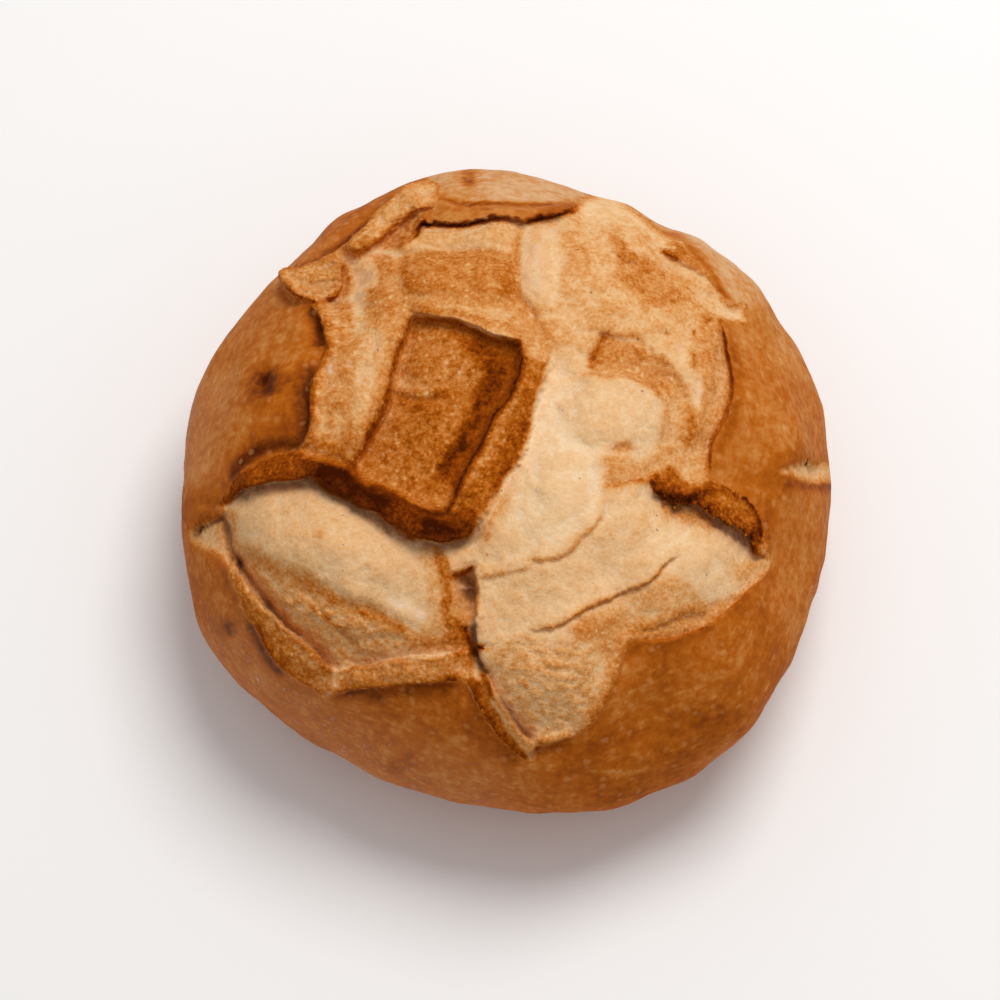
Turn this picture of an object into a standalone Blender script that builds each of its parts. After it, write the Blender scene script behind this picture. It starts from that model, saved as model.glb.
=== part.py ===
"""A round white Italian country loaf, scored in a grid before baking and torn open along the cuts.

The loaf is one solid that stands on its flat baked base: Z is up, the origin is the middle of
the base, and lengths are metres. Its scoring is drawn on the picture plane: the plane through
the middle of the loaf that squarely faces somebody who looks down on it from the front, at
LOOK_DOWN_DEG above the table. Every point of the dome reads its own place on that plane, in
millimetres to the right (u) and up (v), and is raised or sunk by what is drawn there.
"""

import math

import bmesh
import bpy
import numpy as np
from mathutils import Vector

MM = 0.001

# Driving sizes of the loaf, in millimetres
HALF_WIDTH = 100.0
HALF_DEPTH = 105.3
RIM_HEIGHT = 42.0          # the widest line of the loaf stands this far above the table
DOME_HEIGHT = 60.0         # from the widest line to the crown
BELLY_DEPTH = 52.0         # from the widest line down to where a whole belly would end
DOME_FULLNESS = 2.15       # 2 is an ellipse, more is squarer
BELLY_FULLNESS = 2.6

# The way the scoring is looked at
LOOK_DOWN_DEG = 68.0
EYE_DISTANCE = 1300.0
AIM_HEIGHT = 42.0          # the picture plane crosses the loaf's axis at this height

# How far the outline stands from the middle as the eye sees it, each 15 degrees counterclockwise
# from the right: an oven loaf is never a true circle
SEEN_OUTLINE = (100, 101, 100, 100, 96, 96, 100, 101, 100, 98, 99.5, 101,
                100.5, 102, 103, 99, 96, 96, 98, 102, 104, 104.5, 102, 100)
OUTLINE_FIT_ROUNDS = 4
OUTLINE_SAMPLES = 60_000
OUTLINE_SEED = 3

# Torn-open regions and sunk or raised pads: outline points (u, v), height, edge width
PADS = (
    # the square island of crust in the middle, left lying in a well
    (((-30, 54), (-8, 48.5), (5, 45), (3, 36), (-6, 19), (-13, 6), (-19, -5), (-29, -3),
      (-40, 3), (-46, 9), (-40, 22), (-35, 38)), -6.0, 3.0),
    # the great tear to the right of it
    (((14, 38), (8, 18), (-3, -1), (-10, -14), (-14, -22), (-12, -45), (-4, -62), (7, -79),
      (10, -77), (22, -75), (30, -66), (35, -50), (41, -43), (60, -39), (73, -33), (83, -23),
      (76, -10), (66, -3), (50, 0), (30, 8), (22, 30)), -1.5, 5.0),
    # the long lens at the front left
    (((-88, -11), (-83, -1), (-73, 2.5), (-58, 4), (-46, -2), (-35, -10), (-22, -16),
      (-20, -30), (-17, -46), (-30, -51), (-50, -54), (-62, -45), (-74, -34), (-84, -20)), -2.0, 4.0),
    # the toasted strip between the left flank and the square island
    (((-50, 68), (-38, 68), (-32, 54), (-37, 35), (-44, 14), (-50, 9), (-63, 12), (-61, 26),
      (-59, 36), (-57, 46), (-57, 57)), 2.5, 6.0),
    # the toasted strip between the great tear and the right flank
    (((61, 57), (66, 54), (69.5, 36), (66, 22), (63.5, 6), (52, 7), (53, 22), (57, 38)), 1.0, 5.0),
    # the small side split low on the right flank
    (((82, 6), (90, 9), (101, 10.5), (101, 3.5), (90, 3.5)), -2.5, 2.0),
)

# Rounded swells of risen dough: centre (u, v), half length, half width, turn in degrees, height
SWELLS = (
    ((-57, -16), 32, 15, -25, 6.0),
    ((-45, -38), 24, 9, -18, 2.0),
    ((18, 2), 24, 34, -20, 4.0),
    ((12, -38), 20, 26, -25, 3.5),
    ((55, -22), 20, 11, 10, 2.5),
    ((34, 26), 18, 10, -10, 3.0),
    ((30, 64), 26, 14, -20, 2.5),
    ((9, 68), 5, 14, 0, 2.0),
    ((-50, 35), 8, 26, -12, 1.5),
    ((-14, 66), 18, 8, 2, 2.0),
)

# Rolls and thick lips of crust: points (u, v), height, half width
RIDGES = (
    (((-66, 63), (-58, 66), (-48, 75), (-37, 87), (-24, 96)), 3.0, 4.0),
    (((-42, 72), (-30, 78), (-15, 79), (2, 80)), 2.5, 3.5),
    (((-58, 8), (-47, 3), (-38, -3), (-28, -9), (-20, -11), (-14, -7)), 5.0, 3.8),
    (((-14, -7), (-8, 3), (-3, 13), (3, 23), (8, 33), (9, 41)), 4.0, 3.8),
    (((-30, 57), (-12, 53), (4, 49), (15, 43)), 2.5, 2.6),
    (((-85, 0), (-79, 6), (-71, 8), (-60, 8)), 2.5, 3.5),
    (((-84, -22), (-77, -35), (-69, -45), (-60, -53), (-54, -57)), 2.8, 3.4),
    (((-54, -57), (-40, -56), (-26, -55), (-12, -53)), 2.8, 3.2),
    (((-11, -55), (-7, -64), (-1, -74), (7, -80)), 2.8, 2.8),
    (((48, 4), (56, 3), (65, 1), (73, -3), (78, -11)), 3.5, 3.2),
    (((-22, 88), (-8, 87), (8, 87), (20, 89)), 2.5, 3.0),
    (((50, 77), (57, 69), (66, 62), (73, 57)), 1.8, 3.0),
    (((38, -42), (48, -40), (60, -37)), 1.4, 3.0),
)

# Cuts, folds and cracks: points (u, v), depth, half width
GROOVES = (
    (((-86, -6), (-82, -2), (-73, 1), (-60, 1.5), (-48, -4), (-36, -12), (-24, -17)), 3.5, 2.0),
    (((-22, -17), (-12, -15), (-5, -6), (1, 4), (7, 15)), 2.5, 1.8),
    (((-86, -14), (-82, -23), (-73, -35), (-64, -41)), 3.0, 1.8),
    (((-14, -24), (-13, -34), (-11, -45), (-6, -55)), 7.0, 2.4),
    (((-5, -57), (-1, -67), (7, -77)), 2.0, 1.6),
    (((-59, 59), (-58, 47), (-61, 30), (-64, 14)), 3.0, 2.2),
    (((-49, -63), (-38, -61), (-24, -60), (-13, -60)), 2.4, 2.2),
    (((-13, -60), (-10, -70), (-3, -79), (4, -83)), 2.4, 2.0),
    (((-30, 82), (-20, 83), (-8, 83.5), (4, 83), (16, 86)), 3.0, 1.5),
    (((2.5, 82), (2.5, 68), (5, 58), (13, 48)), 2.0, 1.5),
    (((-20, 91), (-5, 90), (12, 90)), 1.5, 1.4),
    (((-63, 68), (-52, 75), (-44, 83), (-37, 90)), 2.0, 1.8),
    (((66, 55), (70, 40), (69, 27), (65, 18), (64, 6)), 1.8, 1.6),
    (((47, -2), (57, -4), (66, -7), (74, -14)), 4.0, 2.6),
    (((26, 40), (30, 49)), 3.0, 2.0),
    (((8, -41), (24, -36), (37, -31), (46, -25)), 1.6, 1.6),
    (((8, -20), (20, -16), (28, -6)), 1.0, 1.5),
    (((31, 4), (38, 3), (46, 5)), 1.4, 1.6),
    (((31, 13), (38, 15)), 1.5, 2.6),
    (((48, 75), (56, 68), (62, 64)), 1.5, 1.5),
)

# How a feature's ends run out, as a share of its length, and how full the swells are
END_TAPER_SHARE = 0.16
SWELL_FULLNESS = 0.75

# The relief is pushed out along the surface's own direction at the flanks, and towards the eye
# where the surface faces it enough (1 is squarely); where it faces away, the relief fades out
TURNS_TO_EYE = (0.25, 0.6)
FADES_AWAY = (-0.05, 0.30)
STEEPEST_PUSH = 0.45

# Unevenness of the whole crust: wavelength and height, in millimetres
WAVES = ((46.0, 1.0), (21.0, 0.45), (10.0, 0.2))
WAVE_DIRECTIONS = 14
WAVE_SEED = 7

FOOT_FADE = 14.0           # the waves fade out over this height above the flat base

# The mesh: a ball of even triangles, cut finer where the relief bends the most
BALL_SUBDIVISIONS = 5
FINER_PASSES = ((0.26, 4.5), (0.30, 2.6))     # bend left over and shortest edge, in millimetres
CURVE_STEPS = 6
FLAT_ANGLE = math.radians(0.5)
NORMAL_STEP = 1e-3         # on the ball of radius 1

CRUST_BROWN = (0.53, 0.22, 0.062, 1.0)


def clear_scene():
    for obj in list(bpy.data.objects):
        bpy.data.objects.remove(obj, do_unlink=True)


def smoothstep(low, high, x):
    t = np.clip((x - low) / (high - low), 0.0, 1.0)
    return t * t * (3.0 - 2.0 * t)


def smooth_line(points, closed=False):
    """A Catmull-Rom curve through the points, as an array of close points."""
    p = np.array(points, float)
    if closed:
        p = np.vstack([p[-1], p, p[0], p[1]])
    else:
        p = np.vstack([2 * p[0] - p[1], p, 2 * p[-1] - p[-2]])
    t = (np.arange(CURVE_STEPS) / CURVE_STEPS)[:, None]
    runs = []
    for a, b, c, d in zip(p, p[1:], p[2:], p[3:]):
        runs.append(0.5 * (2 * b + (c - a) * t + (2 * a - 5 * b + 4 * c - d) * t ** 2
                           + (3 * b - a - 3 * c + d) * t ** 3))
    if not closed:
        runs.append(p[-2:-1])
    return np.vstack(runs)


def nearest_on_line(uv, line, closed=False):
    """(distance to the line, share of the line's length at the nearest point) for each uv."""
    starts = line
    ends = np.roll(line, -1, axis=0) if closed else line[1:]
    starts = starts[:len(ends)]
    spans = ends - starts
    lengths = np.linalg.norm(spans, axis=1)
    before = np.concatenate([[0.0], np.cumsum(lengths)])[:-1]
    best = np.full(len(uv), 1e9)
    share = np.zeros(len(uv))
    for start, span, length, done in zip(starts, spans, lengths, before):
        t = np.clip(((uv - start) @ span) / (length * length), 0.0, 1.0)
        away = np.linalg.norm(uv - start - t[:, None] * span, axis=1)
        nearer = away < best
        best[nearer] = away[nearer]
        share[nearer] = (done + t[nearer] * length) / lengths.sum()
    return best, share


def inside(uv, line):
    """True for each uv that lies within the closed line."""
    u, v = uv[:, 0], uv[:, 1]
    found = np.zeros(len(uv), bool)
    for (u0, v0), (u1, v1) in zip(line, np.roll(line, -1, axis=0)):
        if v0 == v1:
            continue
        crossed = ((v0 > v) != (v1 > v)) & (u < (u1 - u0) * (v - v0) / (v1 - v0) + u0)
        found ^= crossed
    return found


def end_taper(share):
    """1 along a line, easing to 0 at both of its ends."""
    return smoothstep(0.0, END_TAPER_SHARE, share) * smoothstep(0.0, END_TAPER_SHARE, 1.0 - share)


def relief_at(uv):
    """How far the scoring raises (or sinks) the dough at each place on the picture plane."""
    height = np.zeros(len(uv))
    for points, rise, edge in PADS:
        line = smooth_line(points, closed=True)
        away, _ = nearest_on_line(uv, line, closed=True)
        height += rise * smoothstep(0.0, edge, np.where(inside(uv, line), away, 0.0))
    for centre, half_length, half_width, turn, rise in SWELLS:
        across = uv - np.array(centre, float)
        c, s = math.cos(math.radians(turn)), math.sin(math.radians(turn))
        along = (across @ (c, s)) / half_length
        aside = (across @ (-s, c)) / half_width
        height += rise * np.clip(1.0 - along ** 2 - aside ** 2, 0.0, None) ** SWELL_FULLNESS
    for features, sign in ((RIDGES, 1.0), (GROOVES, -1.0)):
        for points, size, half_width in features:
            away, share = nearest_on_line(uv, smooth_line(points))
            height += sign * size * np.exp(-(away / half_width) ** 2) * end_taper(share)
    return height


def waves_at(points):
    """A gentle random unevenness, the sum of sine waves that run in many directions."""
    random = np.random.default_rng(WAVE_SEED)
    height = np.zeros(len(points))
    for wavelength, rise in WAVES:
        for _ in range(WAVE_DIRECTIONS):
            direction = random.normal(size=3)
            direction *= 2.0 * math.pi / (wavelength * np.linalg.norm(direction))
            height += rise * np.sin(points @ direction + random.uniform(0.0, 2.0 * math.pi)) \
                * math.sqrt(2.0 / WAVE_DIRECTIONS)
    return height


def dome_at(ball, plan):
    """The plain loaf, in millimetres, for points of a ball of radius 1.

    plan holds the reach of the loaf's widest line, as shares of its half width and depth, at
    even turns counterclockwise from the right.
    """
    angle = np.degrees(np.arctan2(ball[:, 1], ball[:, 0])) % 360.0
    reach = smooth_line([(share, 0.0) for share in plan], closed=True)[:, 0]
    turns = np.linspace(0.0, 360.0, len(reach) + 1)
    reach = np.interp(angle, turns, np.append(reach, reach[0]))
    around = np.hypot(ball[:, 0], ball[:, 1])
    power = np.where(ball[:, 2] >= 0.0, DOME_FULLNESS, BELLY_FULLNESS)
    fuller = (around ** power + np.abs(ball[:, 2]) ** power) ** (-1.0 / power)
    rise = np.where(ball[:, 2] >= 0.0, DOME_HEIGHT, BELLY_DEPTH)
    loaf = np.empty_like(ball)
    loaf[:, 0] = HALF_WIDTH * reach * ball[:, 0] * fuller
    loaf[:, 1] = HALF_DEPTH * reach * ball[:, 1] * fuller
    loaf[:, 2] = RIM_HEIGHT + rise * ball[:, 2] * fuller
    return loaf


def look_axes():
    """The directions towards the eye and up the picture."""
    tilt = math.radians(LOOK_DOWN_DEG)
    towards = np.array((0.0, -math.cos(tilt), math.sin(tilt)))
    upwards = np.array((0.0, math.sin(tilt), math.cos(tilt)))
    return towards, upwards


def picture_place(points):
    """Where the eye sees each point on the picture plane, as (u, v) in millimetres."""
    towards, upwards = look_axes()
    from_aim = points - np.array((0.0, 0.0, AIM_HEIGHT))
    nearer = EYE_DISTANCE / (EYE_DISTANCE - from_aim @ towards)
    return np.stack([from_aim[:, 0] * nearer, (from_aim @ upwards) * nearer], axis=1)


def ball_points(mesh):
    mesh.verts.ensure_lookup_table()
    return np.array([v.co[:] for v in mesh.verts], float)


def dome_normals(ball, plan):
    """Outward directions of the plain loaf, from two small steps across the ball."""
    side = np.cross(ball, (0.31, 0.52, 0.79))
    side /= np.linalg.norm(side, axis=1)[:, None]
    other = np.cross(ball, side)
    here = dome_at(ball, plan)
    normal = np.cross(dome_at(ball + NORMAL_STEP * side, plan) - here,
                      dome_at(ball + NORMAL_STEP * other, plan) - here)
    return normal / np.linalg.norm(normal, axis=1)[:, None]


def loaf_at(ball, plan):
    """The finished loaf's surface, in millimetres, for points of a ball."""
    towards, _ = look_axes()
    plain = dome_at(ball, plan)
    normal = dome_normals(ball, plan)
    facing = normal @ towards
    relief = relief_at(picture_place(plain)) * smoothstep(*FADES_AWAY, facing)
    pull = smoothstep(*TURNS_TO_EYE, facing)[:, None]
    push = normal * (1.0 - pull) + towards * pull
    push /= np.linalg.norm(push, axis=1)[:, None]
    push /= np.maximum((push * normal).sum(axis=1), STEEPEST_PUSH)[:, None]
    waves = waves_at(plain) * smoothstep(0.0, FOOT_FADE, plain[:, 2])
    surface = plain + push * relief[:, None] + normal * waves[:, None]
    surface[:, 2] = np.maximum(surface[:, 2], 0.0)
    return surface


def plan_for_outline():
    """The plan of the loaf that gives it the seen outline.

    It starts as the outline itself, and each round scales it by how far the eye then sees a
    cloud of points of the loaf reach in each direction.
    """
    wanted = np.array(SEEN_OUTLINE, float)
    plan = wanted / HALF_WIDTH
    ball = np.random.default_rng(OUTLINE_SEED).normal(size=(OUTLINE_SAMPLES, 3))
    ball /= np.linalg.norm(ball, axis=1)[:, None]
    turn = 2.0 * math.pi / len(wanted)
    for _ in range(OUTLINE_FIT_ROUNDS):
        seen = picture_place(loaf_at(ball, plan))
        angle = np.arctan2(seen[:, 1], seen[:, 0])
        reach = np.hypot(seen[:, 0], seen[:, 1])
        for k in range(len(wanted)):
            off = np.abs((angle - k * turn + math.pi) % (2.0 * math.pi) - math.pi)
            plan[k] *= wanted[k] / reach[off < 0.1 * turn].max()
    return plan


def cut_finer(ball_mesh, plan):
    """Cuts the edges whose middle lies off the line between its ends, so that lips stay crisp."""
    for bend_left, shortest in FINER_PASSES:
        ball = ball_points(ball_mesh)
        surface = loaf_at(ball, plan)
        ends = np.array([[v.index for v in e.verts] for e in ball_mesh.edges])
        middle = ball[ends].mean(axis=1)
        middle /= np.linalg.norm(middle, axis=1)[:, None]
        true_middle = loaf_at(middle, plan)
        bend = np.linalg.norm(true_middle - surface[ends].mean(axis=1), axis=1)
        length = np.linalg.norm(surface[ends[:, 0]] - surface[ends[:, 1]], axis=1)
        coarse = (bend > bend_left) & (length > shortest)
        edges = [e for e, cut in zip(ball_mesh.edges, coarse) if cut]
        bmesh.ops.subdivide_edges(ball_mesh, edges=edges, cuts=1)
        bmesh.ops.triangulate(ball_mesh, faces=[f for f in ball_mesh.faces if len(f.verts) > 3])
        for vert in ball_mesh.verts:
            vert.co.normalize()
        ball_mesh.verts.index_update()


def merge_flat_base(mesh):
    """Makes the triangles of the base one flat face."""
    flat = [f for f in mesh.faces if all(v.co.z == 0.0 for v in f.verts)]
    edges = {e for f in flat for e in f.edges}
    verts = {v for f in flat for v in f.verts}
    bmesh.ops.dissolve_limit(mesh, angle_limit=FLAT_ANGLE, verts=list(verts), edges=list(edges))


def crust_material():
    material = bpy.data.materials.new("baked_crust")
    material.use_nodes = True
    shader = material.node_tree.nodes["Principled BSDF"]
    shader.inputs["Base Color"].default_value = CRUST_BROWN
    shader.inputs["Roughness"].default_value = 0.6
    shader.inputs["Metallic"].default_value = 0.0
    return material


def build_loaf(collection):
    loaf = bmesh.new()
    bmesh.ops.create_icosphere(loaf, subdivisions=BALL_SUBDIVISIONS, radius=1.0)
    plan = plan_for_outline()
    cut_finer(loaf, plan)
    surface = loaf_at(ball_points(loaf), plan)
    middle = (surface.min(axis=0) + surface.max(axis=0)) / 2.0
    middle[2] = 0.0
    for vert, place in zip(loaf.verts, surface - middle):
        vert.co = Vector(place) * MM
    merge_flat_base(loaf)
    bmesh.ops.recalc_face_normals(loaf, faces=loaf.faces)
    mesh = bpy.data.meshes.new("loaf")
    loaf.to_mesh(mesh)
    loaf.free()
    mesh.shade_smooth()
    obj = bpy.data.objects.new("loaf", mesh)
    obj.data.materials.append(crust_material())
    collection.objects.link(obj)
    return obj


def main():
    clear_scene()
    collection = bpy.data.collections.new("Italian loaf")
    bpy.context.scene.collection.children.link(collection)
    build_loaf(collection)


main()
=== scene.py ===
# %% [markdown]
# # A scored Italian loaf, torn open by the oven
#
# This scene dresses one object: a round white country loaf. Before baking, its skin was cut in a
# grid. In the oven the dough swelled, the cuts tore open, pale crumb pushed up through them, and
# the edges of the skin curled, toasted and burnt. The whole lesson is one closed mesh whose
# surface is a plain dome plus those events, each written down as a line or an outline.

import math

import bmesh
import bpy
import numpy as np
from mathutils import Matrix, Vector, noise


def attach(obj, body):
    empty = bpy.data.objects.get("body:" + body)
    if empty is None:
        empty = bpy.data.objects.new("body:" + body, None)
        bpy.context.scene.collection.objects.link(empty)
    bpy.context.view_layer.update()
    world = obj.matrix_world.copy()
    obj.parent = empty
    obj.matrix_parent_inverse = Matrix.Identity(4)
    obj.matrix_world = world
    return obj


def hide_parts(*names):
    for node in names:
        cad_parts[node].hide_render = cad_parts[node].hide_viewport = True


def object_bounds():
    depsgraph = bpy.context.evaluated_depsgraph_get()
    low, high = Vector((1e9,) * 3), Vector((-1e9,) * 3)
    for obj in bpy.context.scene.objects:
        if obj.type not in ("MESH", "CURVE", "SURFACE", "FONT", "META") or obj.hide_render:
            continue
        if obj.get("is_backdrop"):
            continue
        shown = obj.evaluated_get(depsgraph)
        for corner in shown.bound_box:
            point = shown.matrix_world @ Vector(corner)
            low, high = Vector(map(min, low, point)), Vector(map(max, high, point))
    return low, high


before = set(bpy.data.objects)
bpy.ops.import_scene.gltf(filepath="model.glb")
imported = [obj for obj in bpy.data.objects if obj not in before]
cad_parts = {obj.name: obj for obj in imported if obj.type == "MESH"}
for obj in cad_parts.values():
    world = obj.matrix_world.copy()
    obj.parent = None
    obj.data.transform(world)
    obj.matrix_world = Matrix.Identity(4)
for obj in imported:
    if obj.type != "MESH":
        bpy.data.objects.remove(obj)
CAD_LOW, CAD_HIGH = (tuple(corner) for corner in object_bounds())
MM = 0.001
print("the packed loaf fills", [round((h - l) / MM, 1) for l, h in zip(CAD_LOW, CAD_HIGH)], "mm")

# %% [markdown]
# ## The plain loaf
#
# A loaf baked on a flat oven floor is a dome on a belly: an ellipsoid that is a little squarer
# than an ellipse, with its lower part cut off flat. Bakers would say the dough "spreads, then
# springs". All lengths here are millimetres, and the mesh is scaled to metres at the very end.

# %% Sizes of the plain loaf
HALF_WIDTH = 100.0
HALF_DEPTH = 105.3
RIM_HEIGHT = 42.0
DOME_HEIGHT = 60.0
BELLY_DEPTH = 52.0
DOME_FULLNESS = 2.15
BELLY_FULLNESS = 2.6

# how far the outline reaches as the eye sees it, each 15 degrees counterclockwise from the right
SEEN_OUTLINE = (100, 101, 100, 100, 96, 96, 100, 101, 100, 98, 99.5, 101,
                100.5, 102, 103, 99, 96, 96, 98, 102, 104, 104.5, 102, 100)
print("the plain loaf is", RIM_HEIGHT + DOME_HEIGHT, "mm high")

# %% [markdown]
# ## The picture plane
#
# The cuts and tears are easiest to draw as somebody sees them who looks down on the loaf from
# the front. So every feature is drawn on a plane that squarely faces that eye: `u` runs to the
# right and `v` up the picture, both in millimetres at the loaf's own size. Each point of the
# dome is projected onto the plane to ask which features it belongs to.

# %% Looking at the loaf
LOOK_DOWN_DEG = 68.0
EYE_DISTANCE = 1300.0
AIM_HEIGHT = 42.0

tilt = math.radians(LOOK_DOWN_DEG)
TOWARDS_EYE = np.array((0.0, -math.cos(tilt), math.sin(tilt)))
PICTURE_UP = np.array((0.0, math.sin(tilt), math.cos(tilt)))
PICTURE_RIGHT = np.array((1.0, 0.0, 0.0))


def picture_place(points):
    """Where the eye sees each point, as (u, v)."""
    from_aim = points - np.array((0.0, 0.0, AIM_HEIGHT))
    nearer = EYE_DISTANCE / (EYE_DISTANCE - from_aim @ TOWARDS_EYE)
    return np.stack([from_aim[:, 0] * nearer, (from_aim @ PICTURE_UP) * nearer], axis=1)


print("the top of the dome is seen at", picture_place(np.array(((0.0, 0.0, RIM_HEIGHT + DOME_HEIGHT),))))

# %% [markdown]
# ## Lines, outlines and how far away they are
#
# Everything that follows asks two questions about a point: how far is it from this line, and on
# which side? The lines are smoothed through a few given points, the way a spline tool
# would, and only points near a line are asked, which keeps the script quick.

# %% Curves and distances
CURVE_STEPS = 6
END_TAPER = 0.14


def smoothstep(low, high, x):
    """0 below low, 1 above high, and a soft step between."""
    t = np.clip((x - low) / (high - low), 0.0, 1.0)
    return t * t * (3.0 - 2.0 * t)


def smooth_line(points, closed=False):
    """A Catmull-Rom curve through the points, as an array of close points."""
    p = np.array(points, float)
    if closed:
        p = np.vstack([p[-1], p, p[0], p[1]])
    else:
        p = np.vstack([2 * p[0] - p[1], p, 2 * p[-1] - p[-2]])
    t = (np.arange(CURVE_STEPS) / CURVE_STEPS)[:, None]
    runs = []
    for a, b, c, d in zip(p, p[1:], p[2:], p[3:]):
        runs.append(0.5 * (2 * b + (c - a) * t + (2 * a - 5 * b + 4 * c - d) * t ** 2
                           + (3 * b - a - 3 * c + d) * t ** 3))
    if not closed:
        runs.append(p[-2:-1])
    return np.vstack(runs)


def line_distance(uv, points, reach, closed=False):
    """(distance, side, share along, which points were near enough) of a smoothed line.

    side is +1 on the left of somebody who walks along the line. Points beyond reach keep a
    large distance.
    """
    line = smooth_line(points, closed)
    low, high = line.min(axis=0) - reach, line.max(axis=0) + reach
    near = np.flatnonzero(((uv > low) & (uv < high)).all(axis=1))
    best = np.full(len(near), 1e6)
    side = np.ones(len(near))
    share = np.zeros(len(near))
    ends = np.roll(line, -1, axis=0) if closed else line[1:]
    starts = line[:len(ends)]
    spans = ends - starts
    lengths = np.maximum(np.linalg.norm(spans, axis=1), 1e-6)
    before = np.concatenate([[0.0], np.cumsum(lengths)])[:-1]
    here = uv[near]
    for start, span, length, done in zip(starts, spans, lengths, before):
        off = here - start
        t = np.clip((off @ span) / (length * length), 0.0, 1.0)
        away = np.linalg.norm(off - t[:, None] * span, axis=1)
        nearer = away < best
        best[nearer] = away[nearer]
        cross = span[0] * off[:, 1] - span[1] * off[:, 0]
        side[nearer] = np.where(cross[nearer] >= 0.0, 1.0, -1.0)
        share[nearer] = (done + t[nearer] * length) / lengths.sum()
    return best, side, share, near


def inside(uv, points):
    """True for each uv inside the smoothed outline."""
    line = smooth_line(points, closed=True)
    u, v = uv[:, 0], uv[:, 1]
    found = np.zeros(len(uv), bool)
    for (u0, v0), (u1, v1) in zip(line, np.roll(line, -1, axis=0)):
        if v0 != v1:
            found ^= ((v0 > v) != (v1 > v)) & (u < (u1 - u0) * (v - v0) / (v1 - v0) + u0)
    return found


def depth_inside(uv, points, reach):
    """Signed distance to an outline, positive inside, limited to plus or minus reach."""
    away, _, _, near = line_distance(uv, points, reach, closed=True)
    depth = np.where(inside(uv, points), reach, -reach).astype(float)
    depth[near] = np.clip(away, 0.0, reach) * np.sign(depth[near])
    return depth


def taper(share):
    """1 along a line, easing to 0 at its ends."""
    return smoothstep(0.0, END_TAPER, share) * smoothstep(0.0, END_TAPER, 1.0 - share)


print("a line of three points becomes", len(smooth_line(((0, 0), (1, 1), (2, 0)))), "points")

# %% [markdown]
# ## Where the skin is torn
#
# One long outline goes round everything that tore: inside it the crumb shows, outside it the
# skin stayed whole and became crust. A square island of skin was left lying in a well in the
# middle of the tear, and two small splits sit low on the flanks.

# %% Outlines of the torn crumb and of the island
TORN = ((63, 5), (64, 12), (65.5, 19), (67.5, 24), (69.2, 29), (69.6, 34), (69.2, 40), (68.3, 47),
        (66.8, 53.5), (72, 53), (76.5, 53), (74, 56), (73.5, 58.8), (69, 59.5), (65.5, 64), (61, 69.5),
        (57, 72.5), (54.5, 77.5), (50, 80.5), (43.5, 85.5), (37, 90), (30, 93), (23.5, 92), (21, 88),
        (14, 85.8), (6, 84.9), (0, 85.2), (-8, 85), (-14, 84.5), (-19, 84.6), (-24, 84.8), (-25.5, 86.5),
        (-21.5, 90.5), (-20.6, 94), (-23, 95.8), (-28.5, 94.6), (-34.6, 91.2), (-40.2, 87.4), (-43.8, 84.2),
        (-47.2, 80.4), (-51.4, 75.4), (-57, 70.5), (-62, 67.5), (-66, 66.2), (-67, 62.5), (-64, 59.3),
        (-60, 58.6), (-58, 55), (-56.5, 50), (-56, 45), (-57.5, 41), (-59.5, 36), (-60.3, 30),
        (-61, 22), (-63, 15.5), (-65, 13), (-72, 12), (-80, 8.6), (-86, 2.2), (-89, -4), (-89, -12),
        (-87, -19), (-86.5, -24), (-83, -32), (-79.5, -40), (-76.5, -46), (-72.5, -51), (-66, -57),
        (-60, -60.5), (-57, -63.5), (-53, -61), (-46, -60), (-37, -59.3), (-28, -58.5), (-20, -57.5),
        (-13, -57.5), (-12, -60), (-8.5, -66), (-4.5, -73), (1, -79), (6.5, -83), (9, -82), (9, -77.8),
        (15, -76.8), (21, -75), (26, -70.5), (31, -62), (35, -53), (36.5, -49), (38, -45.5),
        (44, -45), (50, -44.3), (60, -41.5), (67, -37), (74, -30), (82.5, -22.5), (80.5, -17),
        (79, -9), (75.5, -2.5), (69, 2))
ISLAND = ((-29, 55.5), (-20, 53.5), (-10, 50.5), (-4, 48), (4, 45.5), (4.5, 43), (3.5, 38), (1, 32),
          (-3, 27), (-6, 21), (-9, 16), (-12, 10), (-15, 4), (-17, -2), (-20, -5), (-25, -5.5),
          (-30, -3), (-35, 0), (-41, 2.5), (-45, 5), (-48.5, 9), (-44, 17), (-41, 22), (-38, 28),
          (-36, 36), (-34, 44), (-31.5, 51))
SPLITS = (
    ((81, 6.2), (86, 8.2), (91, 10.2), (94, 11), (99, 10.2), (108, 10.8), (108, 3.4), (98, 3.2),
     (90, 4), (85, 5)),
    ((-98, -14), (-96.5, -10.5), (-92, -8.3), (-88, -6.5), (-85, -9), (-84.5, -16), (-86, -22.5),
     (-89.5, -19.5), (-94, -17)),
)
# how far from its edge a tear is measured, and how much it narrows on the sides nobody sees
TORN_REACH = 4.0
SPLIT_NARROWS = 5.5
TORN_REACH_AWAY = 14.0
TORN_NARROWS = 16.8
print("the tear has", len(TORN), "points, the island", len(ISLAND), "and there are", len(SPLITS), "splits")

# %% [markdown]
# ## Lips
#
# Along a tear one side is lifted and the other sinks, and the lifted skin curls over the gap.
# A lip is a line with the lifted side on its left: how far that side rises, how far the other
# one sinks, how wide each of them runs out, how soft the step is, how far the edge leans over
# the gap, and how ragged it is.

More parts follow.
